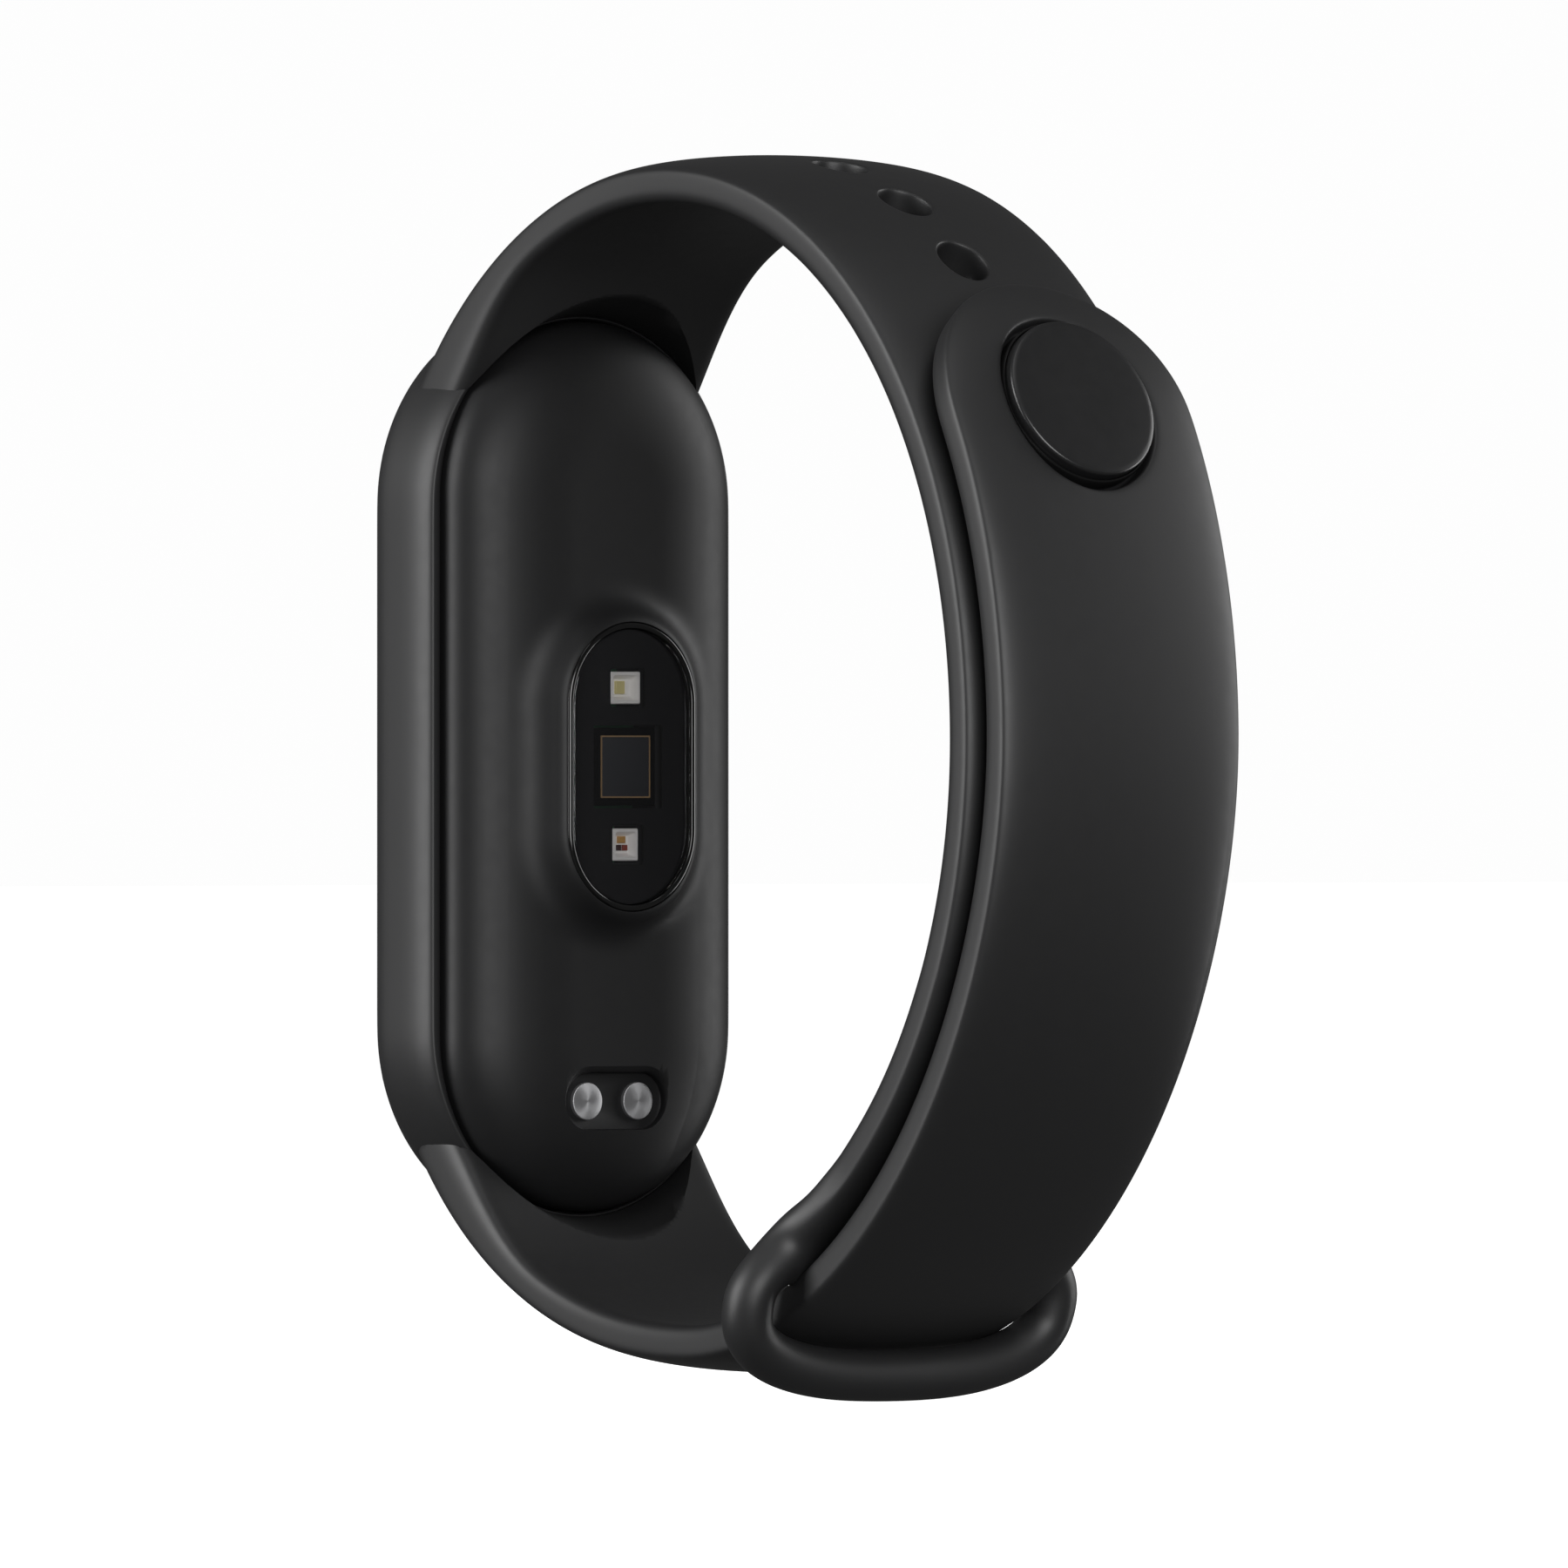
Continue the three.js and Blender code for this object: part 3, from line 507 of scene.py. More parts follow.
# ---- The stud strap ----
def stud_strap():
    shape = Shape()
    path = stud_path
    tops = 2 * len(top_columns(STRAP_HALF)) - 1
    sides = len(SIDE_RINGS)
    stud = STUD_ON_STUD
    plain_ring = full_ring(half_section(STRAP_HALF))
    root_ring = full_ring(half_section(STRAP_HALF + ROOT_EXTRA))
    block_start = stud - STRAP_HALF

    stations = np.linspace(0, block_start, 76)
    rows = []
    for s in stations:
        root = float(smoothstep(-s, -ROOT_LENGTH, 0))
        ring = []
        for (x0, h0), (x2, h2) in zip(plain_ring, root_ring):
            ring.append(path.put(x0 + (x2 - x0) * root, s, h0 + (h2 - h0) * root - thicker(s, h0)))
        rows.append(shape.row(ring))
    shape.rings(rows)
    shape.cap(rows[0])
    end = rows[-1]

    # Round the stud the grid turns into rings: from the outline in to the recess, and on to the bore.
    side_cells, tip_cells = 7, 28
    columns = np.array([x for x, _ in plain_ring[:tops]])
    outline = [(x, -STRAP_HALF) for x in columns]
    run = STRAP_HALF + TIP_SHIFT
    straight = [TIP_SHIFT - run * (1 - k / side_cells) for k in range(1, side_cells + 1)]
    outline += [(STRAP_HALF, s) for s in straight]
    for k in range(1, tip_cells):
        a = math.pi * k / tip_cells
        outline.append((STRAP_HALF * math.cos(a), TIP_SHIFT + STRAP_HALF * math.sin(a)))
    outline += [(-STRAP_HALF, s) for s in reversed(straight)]
    outline = np.array(outline)
    count = len(outline)
    angles = np.arctan2(outline[:, 1], outline[:, 0])

    def inset_of(x, s):
        return STRAP_HALF - math.hypot(x, max(s - TIP_SHIFT, 0))

    def surface(points, height):
        return [path.put(x, stud + s, height(x, s)) for x, s in points]

    def circle(radius):
        return np.stack([radius * np.cos(angles), radius * np.sin(angles)], axis=1)

    on_top = lambda drop: lambda x, s: dome(max(inset_of(x, s), 0)) - drop
    level = lambda height: lambda x, s: height
    seat = STRAP_THICK - RECESS_DEPTH
    rim = circle(RECESS_RADIUS + 0.25)
    middle = circle((RECESS_RADIUS + BORE_RADIUS) / 2)
    shares = [0.0, 0.035, 0.1, 0.2, 0.34, 0.5, 0.67, 0.84]
    rows = [surface(outline + (rim - outline) * share, on_top(0.0)) for share in shares]
    rows.append(surface(rim, on_top(0.0)))
    rows.append(surface(circle(RECESS_RADIUS + 0.07), on_top(0.05)))
    rows.append(surface(circle(RECESS_RADIUS), on_top(0.25)))
    rows.append(surface(circle(RECESS_RADIUS), level(seat + 0.15)))
    rows.append(surface(circle(RECESS_RADIUS - 0.15), level(seat)))
    rows.append(surface(middle, level(seat)))
    rows.append(surface(circle(BORE_RADIUS + 0.1), level(seat)))
    rows.append(surface(circle(BORE_RADIUS), level(seat - 0.1)))
    rows.append(surface(circle(BORE_RADIUS), level(0.15)))
    rows.append(surface(circle(BORE_RADIUS + 0.15), level(0.0)))
    rows.append(surface(middle, level(0.0)))
    spoke = outline - (0, TIP_SHIFT)
    spoke[spoke[:, 1] < 0, 1] = 0
    spoke[1 : tops - 1] = 0
    outward = spoke / np.maximum(np.hypot(*spoke.T), 1e-9)[:, None]
    bottom = outline - outward * (1 - EDGE_FLAT) * STRAP_HALF
    bottom[:tops, 0] = [-x for x, _ in plain_ring[tops + sides : 2 * tops + sides]]
    rows.append(surface((middle + bottom) / 2, level(0.0)))
    rows.append(surface(bottom, level(0.0)))
    side_rows = []
    for inset, height in reversed(SIDE_RINGS):
        ring = outline - outward * inset
        side_rows.append(surface(ring, level(height)))
    placed = [shape.row(r) for r in rows]
    shape.rings(placed)
    # The sides run from the bottom's outline up to the top's, all round but for the strap's own end.
    start = tops - 1
    order = [(start + k) % count for k in range(count - tops + 2)]
    side_placed = [placed[-1]] + [shape.row(r) for r in side_rows] + [placed[0]]
    for a, b in zip(side_placed, side_placed[1:]):
        shape.bridge([a[i] for i in order], [b[i] for i in order])
    return shape.build("band_strap_with_stud", levels=2, merge=0.02)


# ---- Pills: the tracker's outline and everything that follows it ----
def pill(half, long, arc=36, side=14):
    """Points round a pill of half width by half length in (x, z), anticlockwise from the right."""
    straight = long - half
    turn = [math.pi * k / arc for k in range(arc + 1)]
    upper = [(half * math.cos(a), straight + half * math.sin(a)) for a in turn]
    lower = [(-x, -z) for x, z in upper]
    steps = [straight * (1 - 2 * k / side) for k in range(1, side)]
    return upper + [(-half, z) for z in steps] + lower + [(half, -z) for z in steps]


def pill_rows(shape, half, long, profile, **cells):
    """One row per (inset, y) of the profile."""
    return [
        shape.row([(x, y, z) for x, z in pill(half - inset, long - inset, **cells)]) for inset, y in profile
    ]


def pill_tool(half, long, profile, centre=(0, 0), sideways=False):
    """A closed pill-shaped solid for cutting, which may lie along X."""
    shape = Shape()
    rows = []
    for inset, y, *longer in profile:
        ring = pill(half - inset, long - inset + sum(longer), arc=36, side=4)
        if sideways:
            ring = [(z, -x) for x, z in ring]
        rows.append(shape.row([(x + centre[0], y, z + centre[1]) for x, z in ring]))
    shape.rings(rows)
    shape.cap(rows[0])
    shape.cap(rows[-1])
    return shape.build("tool")


HOLDER_HALF = BODY_HALF + HOLDER_CLEAR + HOLDER_WALL
HOLDER_LONG = BODY_LONG + HOLDER_CLEAR + HOLDER_END_WALL


def holder():
    front, rim = HOLDER_FRONT, BODY_RIM
    shape = Shape()
    outer = [
        (0.62, front), (0.42, front + 0.05), (0.24, front + 0.2), (0.1, front + 0.5), (0.02, front + 0.9),
        (0.0, front + 1.3), (0.0, front + 2.2), (0.0, rim - 2.0), (0.03, rim - 1.3), (0.1, rim - 0.8),
        (0.2, rim - 0.42), (0.3, rim - 0.14), (0.4, rim - 0.03), (0.45, rim),
    ]
    inner = [
        (0.06, rim - 0.05), (0.0, rim - 0.2), (0.0, rim - 1.5), (0.0, front + 1.5), (0.0, front + 0.3),
        (0.1, front),
    ]
    rows = pill_rows(shape, HOLDER_HALF, HOLDER_LONG, outer)
    pocket_half, pocket_long = BODY_HALF + HOLDER_CLEAR, BODY_LONG + HOLDER_CLEAR
    rows += pill_rows(shape, pocket_half, pocket_long, [(-inset, y) for inset, y in inner])
    shape.rings(rows, around=True)
    return shape.build("band_tracker_holder", levels=1)


BODY_ROUNDING = 6.4  # how far in from its outline the rear cover is still rounded


def body_height(depth):
    """The rear cover's height at a distance in from its outline: upright there and flat in the middle."""
    share = min(max(depth, 0) / BODY_ROUNDING, 1)
    return BODY_RIM + (BODY_BACK - BODY_RIM) * (1 - (1 - share) ** 1.95) ** 0.45


BUMP_REACH, BUMP_HALF, BUMP_LONG = 2.3, 4.55, 7.9
BEZEL_HALF, BEZEL_LONG = 4.3, 7.64


def bump_height(outside):
    """How far the sensor's mound stands up at a distance outside its outline."""
    samples = range(-3, 4)  # averaged over a short span, to ease the mound's upper edge
    total = 0.0
    for k in samples:
        share = min(max((outside + 0.09 * k) / BUMP_REACH, 0), 1)
        total += (1 - share) ** 3
    return (WINDOW_TOP - BODY_BACK) * total / len(samples)


def pill_depth(x, z, half, long):
    return half - math.hypot(x, max(abs(z) - (long - half), 0))


def rear_height(x, z):
    outside = -pill_depth(x, z, BUMP_HALF, BUMP_LONG)
    return body_height(pill_depth(x, z, BODY_HALF, BODY_LONG)) + bump_height(outside)


def rear_cover():
    shape = Shape()
    cells = {"arc": 48, "side": 40}
    wall, front, rim = 1.1, BODY_FRONT, BODY_RIM
    sides = [(wall, front + 0.15), (wall - 0.2, front), (0.15, front), (0.03, front + 0.12), (0, front + 0.4)]
    sides += [(0, front + 2.6), (0, rim - 0.2)]
    rows = pill_rows(shape, BODY_HALF, BODY_LONG, sides, **cells)
    insets = [0.03, 0.1, 0.2, 0.34, 0.52, 0.75, 1.05, 1.4, 1.8, 2.3]
    outer = np.array(pill(BODY_HALF - insets[-1], BODY_LONG - insets[-1], **cells))
    inner = np.array(pill(BEZEL_HALF, BEZEL_LONG, **cells))
    rings = [np.array(pill(BODY_HALF - d, BODY_LONG - d, **cells)) for d in insets]
    count = 44
    rings += [outer + (inner - outer) * (1 - (1 - k / count) ** 1.7) for k in range(1, count + 1)]
    for ring in rings:
        rows.append(shape.row([(x, rear_height(x, z), z) for x, z in ring]))
    top = WINDOW_TOP - 0.03
    for inset, y in [(0.0, top - 0.3), (0.0, WINDOW_TOP - 2.2)]:
        rows += pill_rows(shape, BEZEL_HALF, BEZEL_LONG, [(inset, y)], **cells)
    inside = [(wall + 3.0, BODY_BACK - 1.5), (wall + 1.0, BODY_BACK - 1.9), (wall, rim - 0.6)]
    rows += pill_rows(shape, BODY_HALF, BODY_LONG, inside, **cells)
    shape.rings(rows, around=True)
    cover = shape.build("tracker_rear_cover")
    floor = CONTACT_FLOOR
    recess = [(0.15, floor), (0.03, floor + 0.06), (0, floor + 0.2), (0, floor + 0.38), (-0.05, floor + 0.47)]
    recess += [(-0.16, floor + 0.56), (-0.34, floor + 0.64), (-0.5, floor + 1.2)]
    cut(cover, pill_tool(1.5, 3.35, recess, centre=(0, CONTACT_Z), sideways=True), sharp=40)
    return cover


def front_glass():
    shape = Shape()
    profile = [(2.2, -20.98), (0.6, -20.98), (0.45, -21.02)]
    for k in range(1, 12):
        a = math.pi / 2 * k / 11
        profile.append((0.4 + 3.4 * (1 - math.cos(a)), -21.0 - 2.4 * math.sin(a)))
    profile += [(5.5, GLASS_FRONT), (8.0, GLASS_FRONT)]
    rows = pill_rows(shape, BODY_HALF, BODY_LONG, profile, arc=48, side=30)
    shape.rings(rows)
    shape.cap(rows[0])
    shape.cap(rows[-1])
    return shape.build("tracker_front_glass")


# ---- The sensor window ----
GLASS_THICK, PRINT_THICK = 0.4, 0.07
OPENINGS = {  # centre z, half width and half height of each opening in the black print
    "upper": (4.15, 1.16, 1.02),
    "middle": (0.0, 2.3, 2.18),
    "lower": (-4.1, 1.04, 1.04),
}


def window_glass():
    shape = Shape()
    low = WINDOW_TOP - GLASS_THICK
    edge = [(0.25, low), (0.03, low + 0.02), (0, low + 0.1), (0, WINDOW_TOP - 0.12)]
    edge += [(0.03, WINDOW_TOP - 0.04), (0.12, WINDOW_TOP), (0.5, WINDOW_TOP)]
    rows = pill_rows(shape, WINDOW_HALF - 0.15, WINDOW_LONG - 0.16, edge)
    shape.rings(rows)
    shape.cap(rows[0])
    shape.cap(rows[-1])
    return shape.build("sensor_window_glass", sharp=60)


def rectangle(half_x, half_z, corner, cells=4):
    """Points round a rectangle with round corners in (x, z)."""
    ring = []
    for k, (sx, sz) in enumerate([(1, 1), (-1, 1), (-1, -1), (1, -1)]):
        for i in range(cells + 1):
            a = math.pi / 2 * (k + i / cells)
            x = sx * (half_x - corner) + corner * math.cos(a)
            z = sz * (half_z - corner) + corner * math.sin(a)
            ring.append((x, z))
    return ring


def block(name, centre, rows, sharp=30):
    """A closed body from (half x, half z, corner, y) rows round a centre in (x, z)."""
    shape = Shape()
    placed = []
    for half_x, half_z, corner, y in rows:
        ring = rectangle(half_x, half_z, corner)
        placed.append(shape.row([(x + centre[0], y, z + centre[1]) for x, z in ring]))
    shape.rings(placed)
    shape.cap(placed[0])
    shape.cap(placed[-1])
    return shape.build(name, sharp=sharp)


def window_print():
    top = WINDOW_TOP - GLASS_THICK - 0.01
    low = top - PRINT_THICK
    profile = [(0.02, low), (0, low + 0.02), (0, top - 0.02), (0.02, top)]
    sheet = pill_tool(WINDOW_HALF - 0.18, WINDOW_LONG - 0.19, profile)
    sheet.name = sheet.data.name = "sensor_window_print"
    for z, half_x, half_z in OPENINGS.values():
        rows = [(half_x, half_z, 0.12, low - 1), (half_x, half_z, 0.12, top + 1)]
        cut(sheet, block("tool", (0, z), rows))
    return sheet


def bezel():
    shape = Shape()
    top = WINDOW_TOP + 0.03
    width = BEZEL_HALF - WINDOW_HALF + 0.15
    profile = [(0.0, top - 1.2), (0.0, top - 0.16), (0.03, top - 0.06), (0.1, top), (width - 0.1, top)]
    profile += [(width - 0.03, top - 0.04), (width, top - 0.12), (width, top - 1.2)]
    rows = pill_rows(shape, BEZEL_HALF - 0.02, BEZEL_LONG - 0.02, profile, arc=48)
    shape.rings(rows, around=True)
    return shape.build("sensor_window_bezel")


LED_TOP, DIODE_TOP = -11.78, -11.98
DIE_SHIFT = -0.1  # the photodiode's die sits a little off its package's middle


def led_package(name, z, half_x, half_z, dies):
    """A white ceramic cup with sloping walls; dies are (x, z, half x, half z, name)."""
    top, floor = LED_TOP, LED_TOP - 0.42
    rows = [
        (half_x - 0.05, half_z - 0.05, 0.05, top - 1.1), (half_x, half_z, 0.08, top - 1.05),
        (half_x, half_z, 0.08, top - 0.06), (half_x - 0.05, half_z - 0.05, 0.08, top),
        (half_x - 0.17, half_z - 0.17, 0.14, top), (half_x - 0.21, half_z - 0.21, 0.14, top - 0.04),
        (half_x - 0.36, half_z - 0.36, 0.12, floor + 0.03), (half_x - 0.4, half_z - 0.4, 0.1, floor),
    ]
    pieces = [block(name, (0, z), rows)]
    for x, die_z, die_x, die_half, die_name in dies:
        low, high = floor - 0.02, floor + 0.16
        rows = [(die_x, die_half, 0.02, low), (die_x, die_half, 0.02, high - 0.03)]
        rows += [(die_x - 0.03, die_half - 0.03, 0.02, high)]
        pieces.append(block(die_name, (x, z + die_z), rows))
    return pieces


def photodiode():
    top = DIODE_TOP
    body = [(2.15, 2.05, 0.06, top - 1.0), (2.15, 2.05, 0.06, top - 0.05), (2.1, 2.0, 0.06, top)]
    die = [(1.62, 1.6, 0.03, top - 0.02), (1.62, 1.6, 0.03, top + 0.03), (1.6, 1.58, 0.03, top + 0.04)]
    package = block("photodiode_package", (0, 0), body)
    chip = block("photodiode_die", (DIE_SHIFT, 0), die)
    frame_shape = Shape()
    rows = []
    for half, y in [(1.66, top + 0.01), (1.66, top + 0.06), (1.58, top + 0.06), (1.58, top + 0.01)]:
        ring = rectangle(half, half - 0.02, 0.05)
        rows.append(frame_shape.row([(x + DIE_SHIFT, y, z) for x, z in ring]))
    frame_shape.rings(rows, around=True)
    return package, chip, frame_shape.build("photodiode_gold_frame", sharp=30)


# ---- Round pieces ----
def lathe(name, profile, origin, axis, sides=96, sharp=40, around=False):
    """Spins (radius, height) points round an axis, capped at both ends unless it closes around itself."""
    shape = Shape()
    axis = Vector(axis).normalized()
    across = Vector((1, 0, 0))
    other = axis.cross(across)
    rows = []
    for radius, height in profile:
        ring = []
        for k in range(sides):
            a = 2 * math.pi * k / sides
            spoke = across * math.cos(a) + other * math.sin(a)
            ring.append(Vector(origin) + spoke * radius + axis * height)
        rows.append(shape.row(ring))
    shape.rings(rows, around=around)
    if not around:
        shape.cap(rows[0])
        shape.cap(rows[-1])
    return shape.build(name, sharp=sharp)


def arc_points(centre, radius, start, end, count):
    """(radius, height) points on an arc, for a lathe profile."""
    turns = [math.radians(start + (end - start) * k / count) for k in range(count + 1)]
    return [(centre[0] + radius * math.cos(a), centre[1] + radius * math.sin(a)) for a in turns]


def stud_place(height):
    """A point on the stud's axis at a height over the stud strap's inner face, and the axis."""
    p, n = stud_path.at(STUD_ON_STUD)
    return (0, *(p + n * height)), (0, *n)


def stud_pieces():
    origin, axis = stud_place(STRAP_THICK)
    floor = 0.1 - RECESS_DEPTH
    top = 0.24
    cap = [(0.5, floor - 1.2), (0.55, floor - 1.15), (0.55, floor), (4.2, floor), (CAP_RADIUS, floor + 0.15)]
    cap += [(CAP_RADIUS, top - 0.5)] + arc_points((CAP_RADIUS - 0.22, top - 0.22), 0.22, 0, 62, 7)
    cap += [(CAP_RADIUS - 0.36, top - 0.015), (CAP_RADIUS - 0.5, top), (1.5, top + 0.02), (0.1, top + 0.02)]
    inner, outer = CAP_RADIUS + 0.03, RECESS_RADIUS - 0.03
    low = -RECESS_DEPTH + 0.02
    ring = [(inner, low), (outer, low), (outer, -0.42), (outer - 0.06, -0.34)]
    ring += [(inner + 0.05, -0.34), (inner, -0.4)]
    seat, head_top = -RECESS_DEPTH, -OUTER_LAYER - 0.35
    post = [(0.8, seat + 0.02), (0.95, seat - 0.1), (0.95, head_top), (1.1, head_top - 0.25)]
    post += [(1.1, head_top - 0.7), (1.0, head_top - 0.95), (0.8, head_top - 1.1), (0.4, head_top - 1.18)]
    post += [(0.05, head_top - 1.2)]
    return (
        lathe("stud_cap_disc", cap, origin, axis, sharp=50),
        lathe("stud_recess_ring", ring, origin, axis, around=True),
        lathe("stud_post_and_head", post, origin, axis, sides=48),
    )


def contact(name, side):
    """A spun metal disc with a soft edge."""
    origin = (side * CONTACT_SPACING / 2, CONTACT_TOP, CONTACT_Z)
    profile = [(0.93, -1.0), (1.0, -0.9), (1.0, -0.06), (0.98, -0.02), (0.94, 0.0)]
    profile += [(0.3, 0.004), (0.05, 0.005)]
    return lathe(name, profile, origin, (0, 1, 0), sides=64)


# ---- The pieces ----
strap_holed = holed_strap()
strap_stud = stud_strap()
holder_piece = holder()
cover = rear_cover()
glass = front_glass()
window = window_glass()
mask = window_print()
bezel_ring = bezel()
upper_led = led_package("led_green_package", 4.15, 1.0, 0.85, [(0.14, 0.02, 0.3, 0.34, "led_green_die")])
lower_dies = [
    (-0.2, -0.16, 0.15, 0.15, "led_red_die"), (0.22, -0.16, 0.15, 0.15, "led_infrared_die"),
    (0.03, 0.26, 0.24, 0.18, "led_amber_die"),
]
lower_led = led_package("led_red_package", -4.1, 0.85, 0.85, lower_dies)
diode = photodiode()
cap_disc, recess_ring, post = stud_pieces()
contacts = [contact("charge_contact_disc_left", 1), contact("charge_contact_disc_right", -1)]


def clear_roots(strap):
    """Cuts a strap's root back from the tracker, with a ramp round the tracker's end."""
    rim = BODY_RIM
    pocket = -HOLDER_CLEAR - 0.5
    profile = [
        (pocket, rim - 12), (pocket, rim - 0.25), (-0.3, rim + 0.1), (-0.3, rim + 0.6, 0.1),
        (-0.25, rim + 1.6, 0.55), (-0.2, rim + 2.8, 1.0), (-0.1, rim + 4.2, 1.4), (0.0, rim + 7, 1.9),
    ]
    cut(strap, pill_tool(BODY_HALF, BODY_LONG, profile), sharp=45)


clear_roots(strap_holed)
clear_roots(strap_stud)


# ---- Materials ----
class Nodes:
    """A thin wrapper that adds nodes to a material and links them."""

    def __init__(self, name):
        self.material = bpy.data.materials.new(name)
        self.material.use_nodes = True
        self.tree = self.material.node_tree
        self.shader = self.tree.nodes["Principled BSDF"]
        self.output = self.tree.nodes["Material Output"]
        self.coordinates = self.tree.nodes.new("ShaderNodeTexCoord").outputs["Object"]

    def add(self, kind, **inputs):
        node = self.tree.nodes.new(kind)
        for key, value in inputs.items():
            self.set(node.inputs[key.replace("_", " ")], value)
        return node

    def set(self, socket, value):
        if isinstance(value, bpy.types.NodeSocket):
            self.tree.links.new(value, socket)
        else:
            socket.default_value = value

    def noise(self, per_mm, detail=3, roughness=0.55):
        node = self.add("ShaderNodeTexNoise", Scale=per_mm / MM, Detail=detail, Roughness=roughness)
        self.set(node.inputs["Vector"], self.coordinates)
        return node.outputs["Fac"]

    def spread(self, factor, low, high, start=0.3, end=0.7):
        node = self.add("ShaderNodeMapRange")
        limits = {"Value": factor, "From Min": start, "From Max": end, "To Min": low, "To Max": high}
        for key, value in limits.items():
            self.set(node.inputs[key], value)
        return node.outputs["Result"]

    def mixed(self, factor, first, second):
        node = self.add("ShaderNodeMix")
        node.data_type = "RGBA"
        for index, value in ((0, factor), (6, first), (7, second)):
            self.set(node.inputs[index], value)
        return node.outputs[2]

    def bump(self, height, strength, distance_mm):
        node = self.add("ShaderNodeBump", Strength=strength, Distance=distance_mm * MM, Height=height)
        self.set(self.shader.inputs["Normal"], node.outputs["Normal"])
        return node


def shaded(colour, share):
    return (*(min(c * share, 1) for c in colour[:3]), 1)


def surface(
    name, colour, roughness, metallic=0.0, grain=8.0, bump=0.1, depth=0.01, vary=0.03, spread=0.015, **more
):
    """A Principled material whose colour, roughness and fine relief come from noise of a size set per mm."""
    nodes = Nodes(name)
    cloud = nodes.noise(1.3, detail=4)
    fine = nodes.noise(grain, detail=2)
    tint = nodes.mixed(cloud, shaded(colour, 1 - vary), shaded(colour, 1 + vary))
    nodes.set(nodes.shader.inputs["Base Color"], tint)
    nodes.set(nodes.shader.inputs["Roughness"], nodes.spread(cloud, roughness - spread, roughness + spread))
    nodes.set(nodes.shader.inputs["Metallic"], metallic)
    for key, value in more.items():
        nodes.set(nodes.shader.inputs[key.replace("_", " ")], value)
    if bump:
        nodes.bump(fine, bump, depth)
    return nodes


def spun_metal():
    """Steel turned on a lathe: its highlight fans out round the disc's own axis."""
    nodes = surface("spun_steel", (0.42, 0.42, 0.43), 0.48, metallic=0.8, bump=0)
    tangent = nodes.add("ShaderNodeTangent")
    tangent.direction_type = "RADIAL"
    tangent.axis = "Y"
    nodes.set(nodes.shader.inputs["Anisotropic"], 0.7)
    nodes.set(nodes.shader.inputs["Tangent"], tangent.outputs["Tangent"])
    nodes.bump(nodes.noise(6, detail=1), 0.05, 0.004)
    return nodes.material


def clear_glass():
    """Clear hard-coated glass over the sensors: it lets light through and mirrors at its edges."""
    nodes = Nodes("clear_window_glass")
    nodes.tree.nodes.remove(nodes.shader)
    through = nodes.add("ShaderNodeBsdfTransparent", Color=(0.9, 0.9, 0.91, 1))
    mirror = nodes.add("ShaderNodeBsdfGlossy", Color=(0.45, 0.45, 0.46, 1))
    nodes.set(mirror.inputs["Roughness"], nodes.spread(nodes.noise(0.4), 0.03, 0.07))
    share = nodes.add("ShaderNodeFresnel", IOR=1.45)
    mix = nodes.add("ShaderNodeMixShader")
    nodes.set(mix.inputs[0], share.outputs["Fac"])
    nodes.set(mix.inputs[1], through.outputs["BSDF"])
    nodes.set(mix.inputs[2], mirror.outputs["BSDF"])
    nodes.set(nodes.output.inputs["Surface"], mix.outputs["Shader"])
    return nodes.material


def brushed(name, colour, roughness):
    """Metal rolled or brushed along Z."""
    nodes = surface(name, colour, roughness, metallic=1.0, bump=0, spread=0.04)
    stretch = nodes.add("ShaderNodeMapping", Vector=nodes.coordinates, Scale=(1, 1, 0.05))
    streaks = nodes.add("ShaderNodeTexNoise", Vector=stretch.outputs["Vector"], Scale=9 / MM, Detail=2.0)
    nodes.bump(streaks.outputs["Fac"], 0.25, 0.006)
    return nodes.material


def circuit_board(name, mask):
    """Solder mask over copper tracks that run both ways, with tinned pads."""
    nodes = surface(name, mask, 0.32, bump=0)
    grid = nodes.add("ShaderNodeTexBrick", Vector=nodes.coordinates, Scale=1.4 / MM)
    grid.offset = 0.37
    for key, share in (("Color1", 1.0), ("Color2", 1.5), ("Mortar", 2.4)):
        nodes.set(grid.inputs[key], shaded(mask, share))
    nodes.set(grid.inputs["Mortar Size"], 0.03)
    nodes.set(nodes.shader.inputs["Base Color"], grid.outputs["Color"])
    nodes.bump(grid.outputs["Fac"], 0.3, 0.03)
    return nodes.material


